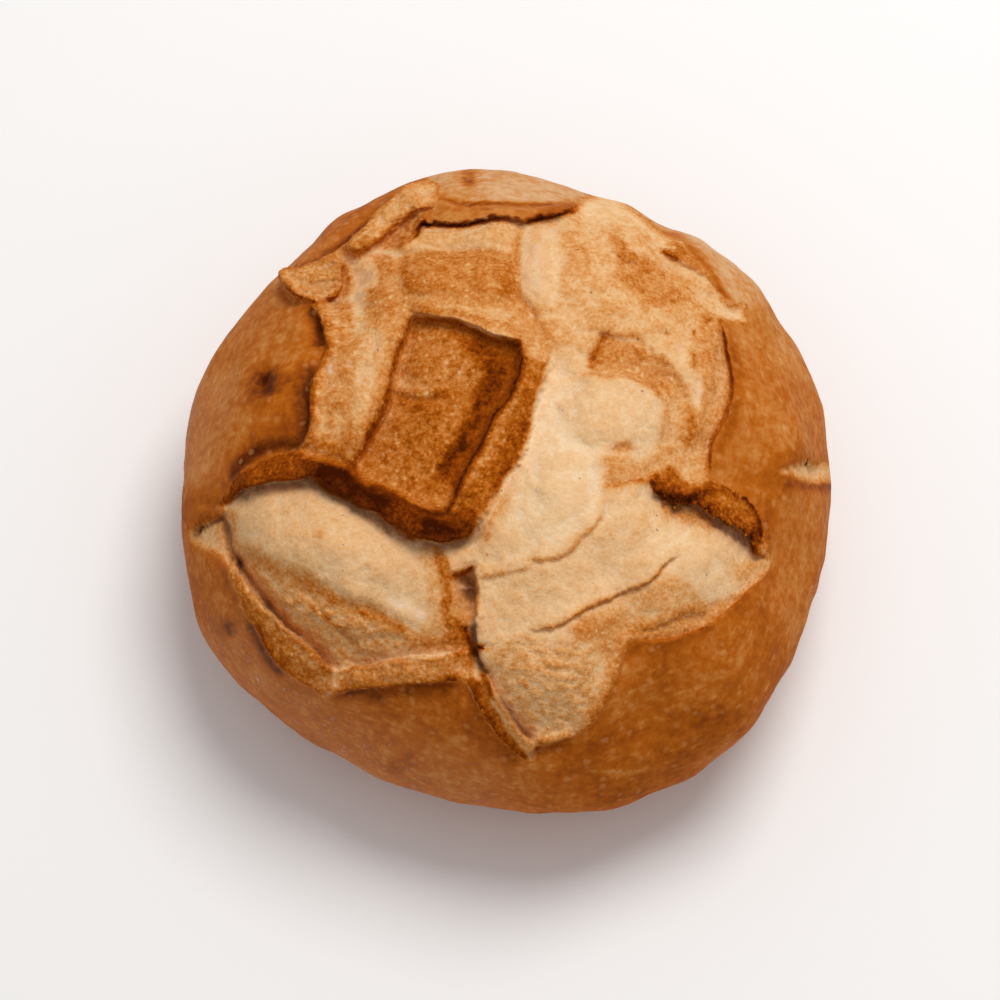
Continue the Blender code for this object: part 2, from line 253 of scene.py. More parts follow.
# %% Lips: (points), rise, sink, rise width, sink width, step, lean, ragged
LIPS = (
    # the burnt lip of the left flank and of the island, over the long front lens
    (((-88, -5), (-86, -1.5), (-83, 1.3), (-79, 3), (-74, 3.2), (-70, 4.2), (-65, 4.4), (-60.5, 6),
      (-56, 4), (-52, 1.8), (-48, -0.8), (-44, -3.8), (-40, -6), (-36, -8.8), (-32, -11), (-28, -12.6),
      (-24, -14), (-20, -14.6), (-16, -14), (-12, -11.8), (-8, -8), (-5, -3.5)),
     3.4, 3.0, 5.5, 5.0, 0.8, 1.1, 0.9),
    # the left strip over the left flank
    (((-59, 59), (-57.5, 54), (-56.3, 49), (-55.8, 45), (-57.3, 41), (-59.3, 36), (-60.2, 30),
      (-61, 22), (-63, 15.5), (-65, 12)), 1.5, 1.3, 6.0, 3.5, 0.7, 0.5, 0.5),
    # the roll at the top left: its outer edge, the end of its stub, and its inner edge
    (((-21, 90), (-20.6, 94), (-23, 95.8), (-28.5, 94.6), (-34.6, 91.2), (-40.2, 87.4), (-43.8, 84.2),
      (-47.2, 80.4), (-51.4, 75.4), (-57, 70.5), (-62, 67.5), (-66, 66.2), (-67, 62.5), (-64, 59.3),
      (-60, 58.6), (-56, 60)), 1.5, 1.3, 3.5, 2.5, 0.7, 0.4, 0.4),
    (((-57, 59.6), (-53, 61), (-51.2, 65), (-50.6, 69), (-50, 72.5)), 1.0, 1.4, 3.0, 2.5, 0.8, 0.3, 0.4),
    (((-44, 75), (-40, 79.5), (-35, 83.3), (-29, 86.8), (-24, 88.6), (-21.2, 91)),
     1.0, 1.2, 3.0, 2.5, 0.8, 0.3, 0.5),
    # the top plate over the crack behind the island
    (((-31, 79.5), (-28.5, 82), (-26, 84.4), (-23, 85), (-19, 84.7), (-14, 84.6), (-10, 84.9),
      (-5, 85.5), (1, 85.2), (5, 84.7), (10, 85.6), (15, 86.2), (19, 87.8), (24, 90)),
     1.6, 1.5, 4.5, 2.2, 0.4, 0.3, 0.8),
    # the mottled band over the back of the well
    (((-31, 56.5), (-25, 55.3), (-17, 53), (-9, 50.8), (-3, 48.2), (5, 46.3)),
     1.4, 1.6, 5.0, 3.5, 0.6, 0.5, 0.3),
    # the left strip's slope into the well
    (((-48.5, 9), (-44, 17), (-41, 22.5), (-38, 29), (-36, 36), (-34, 44), (-31.5, 51), (-30, 56)),
     0.6, 1.9, 6.0, 4.0, 1.6, 0.0, 0.5),
    # the right rim over the deepest side of the well, and its slope to the great tear
    (((5.5, 46), (4.8, 42), (3.6, 37), (1.2, 31.5), (-3, 26.5), (-6, 21), (-9, 15.5), (-12, 9.5),
      (-15, 3.5), (-17.2, -1.5), (-19, -5)), 2.2, 2.4, 6.0, 3.5, 0.8, 0.3, 0.5),
    (((-9, -10), (-5.5, -4), (-3, 1), (0, 6), (3.5, 10.5), (6, 15), (7.5, 20), (8.5, 26), (10, 31),
      (12, 36), (13, 40), (12, 46)), 1.0, 1.8, 5.0, 7.0, 1.4, 0.0, 1.0),
    # the two front lips over the lens
    (((-52, -56), (-56, -52.5), (-60, -48.5), (-65, -44.3), (-70, -40.5), (-74.5, -36.5), (-78, -32),
      (-81, -27.5), (-84, -22.5), (-87, -17)), 2.2, 2.8, 4.0, 3.0, 0.6, 0.4, 0.7),
    (((-12, -48.5), (-20, -50), (-28, -50.5), (-36, -52), (-44, -53.2), (-52, -55)),
     1.6, 1.4, 4.0, 3.0, 0.7, 0.3, 0.6),
    # the outer edges of both front lips
    (((-57, -63.5), (-50, -61), (-46, -60), (-37, -59.3), (-28, -58.5), (-20, -57.5), (-13, -57)),
     1.4, 1.6, 4.0, 3.5, 0.6, 0.5, 0.5),
    (((-86.5, -24), (-83, -32), (-79.5, -40), (-76.5, -46), (-72.5, -51), (-66, -57), (-60, -60.5),
      (-57, -63.5)), 1.0, 1.3, 4.0, 4.0, 0.8, 0.3, 0.5),
    # the lip beside the front tip, inside and outside
    (((9.5, -78), (4, -74), (1, -69.5), (-2, -64.5), (-4.5, -59.5), (-7, -54)),
     1.6, 1.6, 3.0, 2.5, 0.5, 0.3, 0.5),
    (((-12.5, -57), (-9, -65), (-5, -72), (0, -78), (6, -83)), 1.3, 1.6, 4.0, 3.5, 0.7, 0.4, 0.5),
    # the great tear's crumb beside the middle crack
    (((-9.5, -20), (-9.8, -24), (-9.6, -31), (-9.8, -38), (-9.5, -44), (-8.5, -50), (-5, -56)),
     1.4, 3.2, 6.0, 3.5, 0.6, 0.4, 0.7),
    # the front right plate against the great tear
    (((82.5, -22.5), (76, -28), (70, -34), (62, -40), (54, -43.5), (46, -45), (39, -45.5)),
     0.7, 1.0, 5.0, 4.0, 0.6, 0.2, 0.4),
    (((38.5, -43.5), (42, -42), (46, -41.3), (50, -39), (56, -37.5), (63, -36)),
     0.7, 0.4, 4.0, 3.0, 0.8, 0.3, 1.0),
    (((21, -75.5), (26, -70.5), (31, -62), (35, -53), (37, -46)), 0.7, 0.8, 6.0, 5.0, 1.1, 0.2, 0.4),
    (((5, -81), (9, -78.5), (15, -77), (21, -75.3)), 1.4, 1.6, 5.0, 3.0, 0.6, 0.4, 0.5),
    # the ragged burnt lip of the right plate
    (((43, 6), (45.5, 3.5), (48, 0.5), (51, -1.5), (55, -2), (59, -2), (61.5, -4.5), (65, -6.5),
      (69, -7.5), (72, -9.5), (75.5, -13), (78, -17), (80.5, -21)), 3.0, 3.0, 4.5, 6.0, 0.8, 1.2, 2.2),
    # the right plate's edge beside the right strip
    (((66.5, 54.5), (68.3, 47), (69.2, 40), (69.6, 34), (69.2, 29), (67.5, 24), (65.5, 19), (64, 12),
      (63.3, 5)), 1.2, 1.6, 5.0, 3.0, 0.35, 0.3, 0.3),
    # the loose flap at the upper right, its two edges
    (((46, 76), (50, 74), (54, 71), (58, 69), (63, 65.5), (68, 61)), 0.7, 0.5, 3.0, 3.0, 0.6, 0.2, 0.6),
    (((55, 78), (57, 73), (61, 70), (65, 65), (70, 59.5)), 0.5, 0.4, 3.0, 2.5, 0.6, 0.1, 0.4),
    # the fold above the bulge of the great tear
    (((50, 28.5), (44, 33), (38, 35), (31, 36), (26, 37), (21, 36)), 1.0, 1.2, 8.0, 5.0, 1.0, 0.3, 0.6),
    # folds of the crumb
    (((5, -43), (10, -42), (16, -40), (22, -36.5), (28, -34), (33, -32), (38, -29.7), (43, -27.5),
      (46, -25), (48, -22), (51.5, -19.5), (55, -18)), 0.8, 0.8, 7.0, 4.0, 0.5, 0.3, 0.8),
    (((5, -20), (10, -20.3), (15, -19.8), (18, -19), (21, -16), (23.5, -13), (27, -10), (29, -5),
      (30, -1)), 0.5, 0.6, 5.0, 3.0, 0.4, 0.2, 0.8),
    (((-9, -26), (-3, -25), (3, -24), (8, -22)), 0.4, 0.5, 4.0, 3.0, 0.4, 0.1, 0.7),
    (((50, 3.5), (44, 4.7), (38, 3.6), (33, 2.6), (28, 3.2)), 0.6, 0.7, 5.0, 3.0, 0.5, 0.2, 0.7),
    (((30, 79), (32, 74), (36, 71.5), (41, 70)), 0.4, 0.4, 3.0, 3.0, 0.4, 0.1, 0.6),
    (((-87, -15), (-75, -18.5), (-65, -23), (-55, -28), (-45, -33), (-35, -37), (-24, -41)),
     0.5, 0.6, 6.0, 6.0, 1.5, 0.0, 1.5),
    # the loose skin on the lower half of the lens
    (((-72, -35), (-66, -34), (-60, -37), (-54, -41), (-47, -44), (-38, -43.5), (-29, -45)),
     0.3, 0.5, 4.0, 4.0, 0.7, 0.0, 1.2),
)
print(len(LIPS), "lips")

# %% [markdown]
# ## Swells, ridges, grooves and pads
#
# Between the lips the dough swelled in soft masses. These four kinds are simple hills: a swell is
# an elliptic mound, a ridge or groove follows a line, and a pad lifts or sinks a whole region.

# %% Soft relief
SWELL_FULLNESS = 1.15

# centre, half length, half width, turn in degrees, height
SWELLS = (
    ((-57, -15), 33, 17, -25, 5.5),
    ((-45, -38), 26, 11, -18, 2.0),
    ((16, -2), 24, 36, -20, 3.8),
    ((12, -40), 21, 28, -25, 3.4),
    ((16, -62), 14, 16, 10, 1.6),
    ((55, -24), 22, 13, 15, 2.6),
    ((33, 25), 19, 12, -10, 3.2),
    ((30, 64), 28, 15, -20, 2.4),
    ((9.5, 69), 5.5, 15, 0, 2.0),
    ((-50, 34), 8, 28, -10, 1.6),
    ((-14, 66), 19, 9, 2, 1.6),
    ((-27, 42), 8, 9, 10, 1.0),
    ((-24, 18), 13, 12, 0, 1.0),
    ((60, 36), 6, 18, -5, 1.2),
    ((64, -15), 10, 5, -35, 1.0),
)

# points, height (negative sinks), half width
LINES = (
    (((-68, 61), (-64, 62.8), (-59, 64.6), (-54, 67.4), (-49.5, 72.5)), 3.4, 3.3),
    (((-50, 73), (-45.5, 78), (-38.5, 84.8), (-31, 89.6), (-24.5, 92.6)), 3.0, 3.0),
    (((-36, 75), (-30, 78.6), (-24, 80.6), (-14, 79.8), (-4, 80.8), (2, 81)), 1.6, 2.6),
    (((-86, 0), (-79, 5.6), (-70, 8), (-62, 8.6), (-55, 6), (-48, 2.5), (-41, -2), (-34, -5.5),
      (-27, -9.5), (-20, -11), (-14, -9)), 2.2, 3.4),
    (((-14, -6), (-9, 2), (-4, 11), (1, 19), (5, 28), (8, 38)), 1.8, 3.2),
    (((-36, 52), (-40, 41), (-43.5, 30), (-47, 19), (-50.5, 12)), 0.9, 3.0),
    (((-22, 87), (-8, 86.8), (8, 86.8), (20, 88.5)), 1.1, 2.2),
    (((50, 77), (57, 70), (66, 62), (73, 57)), 0.7, 2.2),
    (((38, -43.7), (46, -43), (54, -41)), 0.6, 1.6),
    (((-84, -25), (-79, -34), (-73, -43.5), (-66, -50.5), (-58, -57)), 1.2, 2.6),
    (((-52, -58), (-40, -56.3), (-26, -54.5), (-13, -53.5)), 1.2, 2.6),
    (((-6, -58), (-2, -66), (3, -74), (8, -80)), 0.8, 1.6),
    # a strand of dough across the middle hole
    (((-16.5, -29), (-13, -29.3), (-9.8, -29)), 2.0, 0.6),
    # cracks and creases
    (((-87, 3), (-80, 9.5), (-72, 13), (-65, 14), (-58, 11.5), (-50, 9), (-44, 4), (-38, 1.2),
      (-31, -2.8), (-25, -6), (-20, -7)), -1.6, 1.6),
    (((-15, -25.5), (-12, -28), (-12.5, -33)), -2.6, 2.4),
    (((-10.5, -40), (-10, -46), (-8.5, -51), (-5, -56)), -2.0, 1.2),
    (((4, 84), (3, 75), (2.6, 65), (4.2, 60), (8, 54), (12, 46)), -1.2, 1.1),
    (((-21, 90.3), (-12, 90), (0, 89.8), (12, 89.6), (22, 91)), -0.8, 0.7),
    (((-36, 70), (-30, 74.3), (-22, 75.3), (-12, 75.3), (1, 74.8)), -0.9, 1.2),
    (((-45, 71), (-45.5, 62), (-46, 54), (-49, 46)), -1.0, 3.0),
    (((-38, 31.4), (-32, 30.2), (-26, 29), (-20, 29)), -1.2, 1.0),
    (((25.5, 39.5), (28, 45), (30.2, 49.5)), -1.8, 1.5),
    (((31, 13), (35, 14), (39, 15)), -1.0, 1.8),
    (((22, 20), (26, 10), (27, 0), (24, -8)), -0.6, 2.0),
    (((60, 48), (59, 40), (60, 31)), -0.8, 1.8),
    (((-86, -6), (-90, -8), (-94.5, -10.5), (-96.5, -13.5)), -1.8, 0.8),
    (((-87.5, -6), (-86.8, -12), (-85.5, -18), (-82.5, -24)), -2.2, 1.6),
    (((82.5, 6.6), (86, 8.2), (91, 9.6), (95, 9)), -1.2, 0.7),
    (((-60, -33), (-54, -39.5), (-50, -44), (-46, -48)), -0.5, 0.9),
    (((-68, -30), (-62, -34.5), (-57, -39)), -0.4, 0.9),
    (((-52, -30), (-44, -36), (-38, -39)), -0.4, 1.0),
)

# outline, height, edge width
PADS = (
    (TORN, -1.0, 5.0),
    (ISLAND, -3.8, 2.6),
    (((26, 40), (31, 49), (42, 48), (46, 43), (53, 36), (56, 28), (48, 31), (38, 35), (28, 37)),
     -1.5, 3.0),
    (((-77, 38), (-73, 40.5), (-70.5, 37), (-71, 30), (-75, 28), (-78, 32)), -2.6, 3.5),
    (((-17, -25), (-10, -23), (-9.5, -30), (-10, -37), (-14, -38), (-16, -32)), -2.6, 1.6),
    (((-34, 73), (-20, 74.5), (2, 74), (2.5, 60), (-10, 61), (-30, 60)), 0.8, 2.5),
)

# centre, radius, depth: small holes and blisters
PITS = (
    ((-73.5, -34.5), 1.6, 2.0), ((-10, -49.5), 1.3, 2.2), ((72, -20), 1.4, 1.5),
    ((49.5, 49), 1.1, 1.2), ((58, 50), 1.2, 1.3), ((9, -1), 0.8, 0.6), ((16, 3), 0.8, 0.6),
    ((-7, -29.5), 0.8, 0.8), ((22, -39), 0.9, 0.8), ((9, -78), 1.3, 1.6), ((25, 66), 0.8, 0.6),
    ((-86, -42), 2.4, 0.8), ((-12, 97), 2.6, 0.9), ((33, -30), 1.0, 0.5), ((69, -17), 0.9, 0.8),
    ((-55, 39), 1.0, -0.6), ((-56, -61.5), 1.4, -0.9), ((101, 2), 1.6, -0.6), ((11.5, 66), 0.7, 0.5),
    ((-37, 18), 0.8, 0.5), ((-17, 8), 0.9, 0.6), ((-28, -22), 0.7, 0.5), ((-7, -47), 1.2, 1.2),
)
print(len(SWELLS), "swells,", len(LINES), "ridges and grooves,", len(PADS), "pads and", len(PITS), "pits")

# %% [markdown]
# All of it adds up to one height for each place. A lip is a soft step between a side that runs out
# upwards and a side that runs out downwards, and near its edge it leans over the gap.

# %% Adding the relief up
LIP_STRENGTH = 1.25
LIP_REACH = 3.5
LIP_ROUNDNESS = 1.5
CURL_WIDTH = 1.6
LINE_RAGGEDNESS = 0.35
SPLIT_DEPTH = 1.6
SPLIT_EDGE = 2.0


def relief_at(uv, roughness):
    """(height, lean) of the surface at each uv; roughness is noise that makes edges ragged."""
    height = np.zeros(len(uv))
    lean = np.zeros((len(uv), 2))
    for points, rise, sink, rise_width, sink_width, step, over, ragged in LIPS:
        reach = LIP_REACH * max(rise_width, sink_width)
        away, side, share, near = line_distance(uv, points, reach)
        signed = away * side + ragged * roughness[near]
        lifted = smoothstep(-step, step, signed)
        up = rise * np.exp(-(np.maximum(signed, 0.0) / rise_width) ** LIP_ROUNDNESS)
        down = sink * np.exp(-(np.maximum(-signed, 0.0) / sink_width) ** LIP_ROUNDNESS)
        height[near] += LIP_STRENGTH * taper(share) * (lifted * up - (1.0 - lifted) * down)
        if over:
            first = np.array(points[0], float)
            chord = np.array(points[-1], float) - first
            outwards = np.array((chord[1], -chord[0])) / np.linalg.norm(chord)
            curl = over * lifted * np.exp(-(np.maximum(signed, 0.0) / CURL_WIDTH) ** 2) * taper(share)
            lean[near] += curl[:, None] * outwards
    for centre, half_length, half_width, turn, rise in SWELLS:
        across = uv - np.array(centre, float)
        c, s = math.cos(math.radians(turn)), math.sin(math.radians(turn))
        along = (across @ (c, s)) / half_length
        aside = (across @ (-s, c)) / half_width
        height += rise * np.clip(1.0 - along ** 2 - aside ** 2, 0.0, None) ** SWELL_FULLNESS
    for points, rise, half_width in LINES:
        away, _, share, near = line_distance(uv, points, 3.0 * half_width + 1.0)
        away = away + LINE_RAGGEDNESS * roughness[near]
        height[near] += rise * np.exp(-(away / half_width) ** 2) * taper(share)
    for points, rise, edge in PADS:
        height += rise * smoothstep(0.0, edge, depth_inside(uv, points, edge))
    for points in SPLITS:
        height -= SPLIT_DEPTH * smoothstep(0.0, SPLIT_EDGE, depth_inside(uv, points, SPLIT_EDGE))
    for centre, radius, depth in PITS:
        away = np.linalg.norm(uv - np.array(centre, float), axis=1)
        height -= depth * np.exp(-(away / radius) ** 2)
    return height, lean


on_top, _ = relief_at(np.zeros((1, 2)), np.zeros(1))
print("in the middle of the picture the relief is", round(float(on_top[0]), 2), "mm")

# %% [markdown]
# ## Unevenness of dough
#
# No part of a loaf is smooth. Long waves come from the hand that shaped it; the torn crumb is
# rough at every size from a centimetre down; the baked skin is only slightly puckered. The long
# waves are sums of sines, the same ones that the solid model has, only the shorter ones are softer,
# because fractal noise makes the rest of the unevenness here.

# %% Waves and noise
WAVES = ((46.0, 1.0), (21.0, 0.32), (10.0, 0.06))
WAVE_DIRECTIONS = 14
WAVE_SEED = 7
FOOT_FADE = 14.0


def waves_at(points):
    """Height of the long waves at each point, in millimetres."""
    random = np.random.default_rng(WAVE_SEED)
    height = np.zeros(len(points))
    for wavelength, rise in WAVES:
        for _ in range(WAVE_DIRECTIONS):
            direction = random.normal(size=3)
            direction *= 2.0 * math.pi / (wavelength * np.linalg.norm(direction))
            height += rise * np.sin(points @ direction + random.uniform(0.0, 2.0 * math.pi)) \
                * math.sqrt(2.0 / WAVE_DIRECTIONS)
    return height


def fractal(points, size, octaves, offset):
    """Fractal noise of about -1 to 1; size is its largest lumps, offset makes it unlike the others."""
    scaled = points / size + offset
    return np.array([noise.fractal(Vector(p), 1.0, 2.0, octaves) for p in scaled])


print("waves of", [wavelength for wavelength, _ in WAVES], "mm")


# %% [markdown]
# ## From ball to loaf
#
# The mesh starts as an even ball of triangles, so it has no poles and no seam. Each vertex of
# the ball is carried to its place on the dome and pushed out by the relief there: along the
# dome's own direction at the flanks, and towards the eye on top, so that lips stay where they
# were drawn.

# %% Placing points
# how squarely a place faces the eye, 1 at best and 0 on the seen outline, where each thing changes
TURNS_TO_EYE = (0.25, 0.6)
FADES_AWAY = (-0.05, 0.30)
PAINT_FADES = (-0.40, -0.03)
SPLIT_FADES = (-0.42, 0.0)
# the paint fades in blotches of this many millimetres, by this much
FADE_BLOTCHES = (14.0, 0.20)
STEEPEST_PUSH = 0.45
NORMAL_STEP = 1e-3


def dome_at(ball, plan):
    """The plain loaf for points of a ball of radius 1; plan is its reach at even turns."""
    angle = np.degrees(np.arctan2(ball[:, 1], ball[:, 0])) % 360.0
    reach = smooth_line([(share, 0.0) for share in plan], closed=True)[:, 0]
    turns = np.linspace(0.0, 360.0, len(reach) + 1)
    reach = np.interp(angle, turns, np.append(reach, reach[0]))
    around = np.hypot(ball[:, 0], ball[:, 1])
    power = np.where(ball[:, 2] >= 0.0, DOME_FULLNESS, BELLY_FULLNESS)
    fuller = (around ** power + np.abs(ball[:, 2]) ** power) ** (-1.0 / power)
    rise = np.where(ball[:, 2] >= 0.0, DOME_HEIGHT, BELLY_DEPTH)
    loaf = np.empty_like(ball)
    loaf[:, 0] = HALF_WIDTH * reach * ball[:, 0] * fuller
    loaf[:, 1] = HALF_DEPTH * reach * ball[:, 1] * fuller
    loaf[:, 2] = RIM_HEIGHT + rise * ball[:, 2] * fuller
    return loaf


def dome_normals(ball, plan):
    """Outward directions of the plain loaf, from two small steps across the ball."""
    side = np.cross(ball, (0.31, 0.52, 0.79))
    side /= np.linalg.norm(side, axis=1)[:, None]
    other = np.cross(ball, side)
    here = dome_at(ball, plan)
    normal = np.cross(dome_at(ball + NORMAL_STEP * side, plan) - here,
                      dome_at(ball + NORMAL_STEP * other, plan) - here)
    return normal / np.linalg.norm(normal, axis=1)[:, None]


def wavy_dome(ball, plan):
    """The loaf before it tore, with the waves of the hand that shaped it."""
    plain = dome_at(ball, plan)
    waves = waves_at(plain) * smoothstep(0.0, FOOT_FADE, plain[:, 2])
    wavy = plain + dome_normals(ball, plan) * waves[:, None]
    wavy[:, 2] = np.maximum(wavy[:, 2], 0.0)
    return wavy


print("the foot reaches", -(BELLY_DEPTH - RIM_HEIGHT), "mm, and is cut off at 0")

# %% [markdown]
# The eye sees an outline; the loaf needs a plan. Starting with the outline as the plan, each
# round measures how far a cloud of points of the loaf is seen to reach and corrects the plan.

# %% The plan that gives the outline
OUTLINE_FIT_ROUNDS = 4
OUTLINE_SAMPLES = 60_000
OUTLINE_SEED = 3
NEAR_TURN = 0.1


def plan_for_outline():
    """The plan whose loaf is seen with SEEN_OUTLINE."""
    wanted = np.array(SEEN_OUTLINE, float)
    plan = wanted / HALF_WIDTH
    ball = np.random.default_rng(OUTLINE_SEED).normal(size=(OUTLINE_SAMPLES, 3))
    ball /= np.linalg.norm(ball, axis=1)[:, None]
    turn = 2.0 * math.pi / len(wanted)
    for _ in range(OUTLINE_FIT_ROUNDS):
        seen = picture_place(wavy_dome(ball, plan))
        angle = np.arctan2(seen[:, 1], seen[:, 0])
        reach = np.hypot(seen[:, 0], seen[:, 1])
        for k in range(len(wanted)):
            off = np.abs((angle - k * turn + math.pi) % (2.0 * math.pi) - math.pi)
            plan[k] *= wanted[k] / reach[off < NEAR_TURN * turn].max()
    return plan


plan = plan_for_outline()
print("plan, as shares of the half width:", np.round(plan, 3))

# %% [markdown]
# ## A mesh that is fine where it matters
#
# Only edges that are too long for their place are halved, a few rounds over: on the side that the
# eye reaches, finer on the torn crumb, and finest in a narrow band along every strong lip. A
# sculptor would call it dynamic topology. The hidden side keeps the ball's own even triangles.

# %% Building the ball
BALL_SUBDIVISIONS = 6
SEEN_EDGE = 1.5
CRUMB_EDGE = 0.85
LIP_EDGE = 0.5
LIP_BAND = 2.6
STRONG_LIP = 1.5
LONG_EDGE = 1.4
AROUND_TORN = -2.0
TURNED_AWAY = -0.1
LEFT_ALONE = 1e3
FULL_ROUNDS = 4


def ball_points(mesh):
    """Where the vertices are on the ball, as an array."""
    return np.array([v.co[:] for v in mesh.verts], float)


def cut_edges(mesh, wanted_length):
    """Halves each edge that is longer than wanted_length says for its middle."""
    ball = ball_points(mesh)
    mesh.verts.index_update()
    ends = np.array([[v.index for v in e.verts] for e in mesh.edges])
    middle = ball[ends].mean(axis=1)
    middle /= np.linalg.norm(middle, axis=1)[:, None]
    surface = dome_at(ball, plan)
    length = np.linalg.norm(surface[ends[:, 0]] - surface[ends[:, 1]], axis=1)
    long = length > LONG_EDGE * wanted_length(middle)
    edges = [e for e, cut in zip(mesh.edges, long) if cut]
    bmesh.ops.subdivide_edges(mesh, edges=edges, cuts=1)
    bmesh.ops.triangulate(mesh, faces=[f for f in mesh.faces if len(f.verts) > 3])
    for vert in mesh.verts:
        vert.co.normalize()
    return len(edges)


def wanted_length(ball):
    """How long edges may be at each point, in millimetres."""
    plain = dome_at(ball, plan)
    facing = dome_normals(ball, plan) @ TOWARDS_EYE
    uv = picture_place(plain)
    length = np.where(facing > TURNED_AWAY, SEEN_EDGE, LEFT_ALONE)
    torn = depth_inside(uv, TORN, TORN_REACH) > AROUND_TORN
    length[torn & (facing > 0.0)] = CRUMB_EDGE
    for points, rise, sink, *_ in LIPS:
        if rise + sink < STRONG_LIP:
            continue
        away, _, _, near = line_distance(uv, points, LIP_BAND)
        band = near[away < LIP_BAND]
        length[band[facing[band] > 0.0]] = LIP_EDGE
    return length


loaf = bmesh.new()
bmesh.ops.create_icosphere(loaf, subdivisions=BALL_SUBDIVISIONS, radius=1.0)
for _ in range(FULL_ROUNDS):
    cut = cut_edges(loaf, wanted_length)
    print("cut", cut, "edges:", len(loaf.faces), "triangles")
    if not cut:
        break

# %% [markdown]
# ## Pressing the relief into it
#
# The rough noise is strongest on torn crumb and nearly nothing on baked skin. The drawn lines are
# bent a little first, because no dough tears along a smooth curve. What the eye can't see has
# no drawing: there the tear and its paint narrow down and fade out unevenly.

# %% Which vertices are torn
BEND_SIZE = 11.0
BEND_MM = 0.55
ROUGH_SIZE = 2.4
CRUMB_STARTS = (-0.5, 2.0)
ISLAND_STARTS = (0.0, 2.0)
ISLAND_CALMER = 0.5

ball = ball_points(loaf)
plain = dome_at(ball, plan)
normal = dome_normals(ball, plan)
facing = normal @ TOWARDS_EYE
seen = smoothstep(*FADES_AWAY, facing)
bend = np.stack([fractal(plain, BEND_SIZE, 3, offset) for offset in (17.0, 41.0)], axis=1)
uv = picture_place(plain) + BEND_MM * bend
rough = fractal(plain, ROUGH_SIZE, 3, offset=5.0)

blotch, uneven = FADE_BLOTCHES
painted = smoothstep(*PAINT_FADES, facing + uneven * fractal(plain, blotch, 3, offset=61.0))
torn = depth_inside(uv, TORN, TORN_REACH_AWAY) - TORN_NARROWS * (1.0 - painted)
torn = np.clip(torn, -TORN_REACH, TORN_REACH)
island = depth_inside(uv, ISLAND, TORN_REACH)
narrowing = SPLIT_NARROWS * (1.0 - smoothstep(*SPLIT_FADES, facing))
for points in SPLITS:
    torn = np.maximum(torn, depth_inside(uv, points, TORN_REACH) - narrowing)
torn = np.maximum(torn, -TORN_REACH)
crumb = smoothstep(*CRUMB_STARTS, torn) * (1.0 - ISLAND_CALMER * smoothstep(*ISLAND_STARTS, island))
print("torn:", round(float((torn > 0.0).mean()), 2), "of the vertices")

# %% [markdown]
# Dough that is pulled wrinkles across the pull. So noise is read at places that are squeezed
# along the wrinkles: round the loaf on its skin, and across the tear on its crumb. The same
# squeezed places are kept as an attribute, for the material's streaks.

# %% Stretched places
SKIRT_RADIUS = 60.0
MERIDIAN_LENGTH = 100.0
STRETCH = 0.6
LENS_PULL = math.radians(-40.0)
LENS = ((-88, -3), (-60, 6), (-44, 0), (-20, -14), (-16, -40), (-22, -54), (-56, -60), (-84, -28))
# how strong, how soft the edge, and the outline
WRINKLED = (
    (1.0, 7.0, ((-8, -42), (10, -42), (26, -46), (30, -54), (27, -68), (20, -76), (8, -78), (-2, -66))),
    (0.9, 5.0, ((-82, -20), (-66, -25), (-50, -32), (-34, -40), (-28, -48), (-52, -54), (-66, -42))),
    (0.5, 5.0, ((-58, 58), (-36, 58), (-50, 12), (-62, 14))),
)

around = np.arctan2(ball[:, 1], ball[:, 0])
skin_way = np.stack([STRETCH * SKIRT_RADIUS * np.cos(around), STRETCH * SKIRT_RADIUS * np.sin(around),
                     MERIDIAN_LENGTH * np.arccos(np.clip(ball[:, 2], -1.0, 1.0))], axis=1)
turned = np.stack([uv @ (math.cos(LENS_PULL), math.sin(LENS_PULL)),
                   uv @ (-math.sin(LENS_PULL), math.cos(LENS_PULL))], axis=1)
in_lens = inside(uv, LENS)
drawn = np.where(in_lens[:, None], turned, uv)
crumb_way = np.stack([STRETCH * drawn[:, 0], drawn[:, 1], 0.0 * around], axis=1)
stretched = np.where((torn > 0.0)[:, None], crumb_way, skin_way)
streak = np.zeros(len(uv))
for strength, edge, outline in WRINKLED:
    streak = np.maximum(streak, strength * smoothstep(0.0, edge, depth_inside(uv, outline, edge)))
print("wrinkled:", round(float((streak > 0.1).mean()), 2), "of the vertices")

# %% [markdown]
# Now every vertex gets its height: the drawn relief, lumps of three sizes on the crumb, wrinkles
# where it was drawn out, blisters on the island in the well, and a faint pucker on the skin.

# %% Heights: sizes and rises in millimetres
CRUMB_NOISE = ((13.0, 0.75), (5.0, 0.50), (2.0, 0.19))
WRINKLE_SIZE = 1.9
WRINKLE_RISE = 0.75
SKIN_LUMPS = (6.0, 0.20)
BLISTERED = (4.5, 1.1)
BLISTERS_START = (0.0, 3.0)

height, lean = relief_at(uv, rough)
for lump, rise in CRUMB_NOISE:
    height += rise * crumb * fractal(plain, lump, 4, offset=lump)
height += WRINKLE_RISE * crumb * streak * fractal(stretched, WRINKLE_SIZE, 3, offset=3.0)
lump, rise = BLISTERED
height += rise * smoothstep(*BLISTERS_START, island) * np.abs(fractal(plain, lump, 3, offset=23.0))
lump, rise = SKIN_LUMPS
pucker = rise * (1.0 - crumb) * fractal(plain, lump, 3, offset=9.0)
print("relief from", round(height.min(), 1), "to", round(height.max(), 1), "mm")

# %% [markdown]
# The heights are turned into places. On top the push is towards the eye, on the flanks it follows
# the dome's own direction, and it is never so slanted that a small height moves a vertex far.

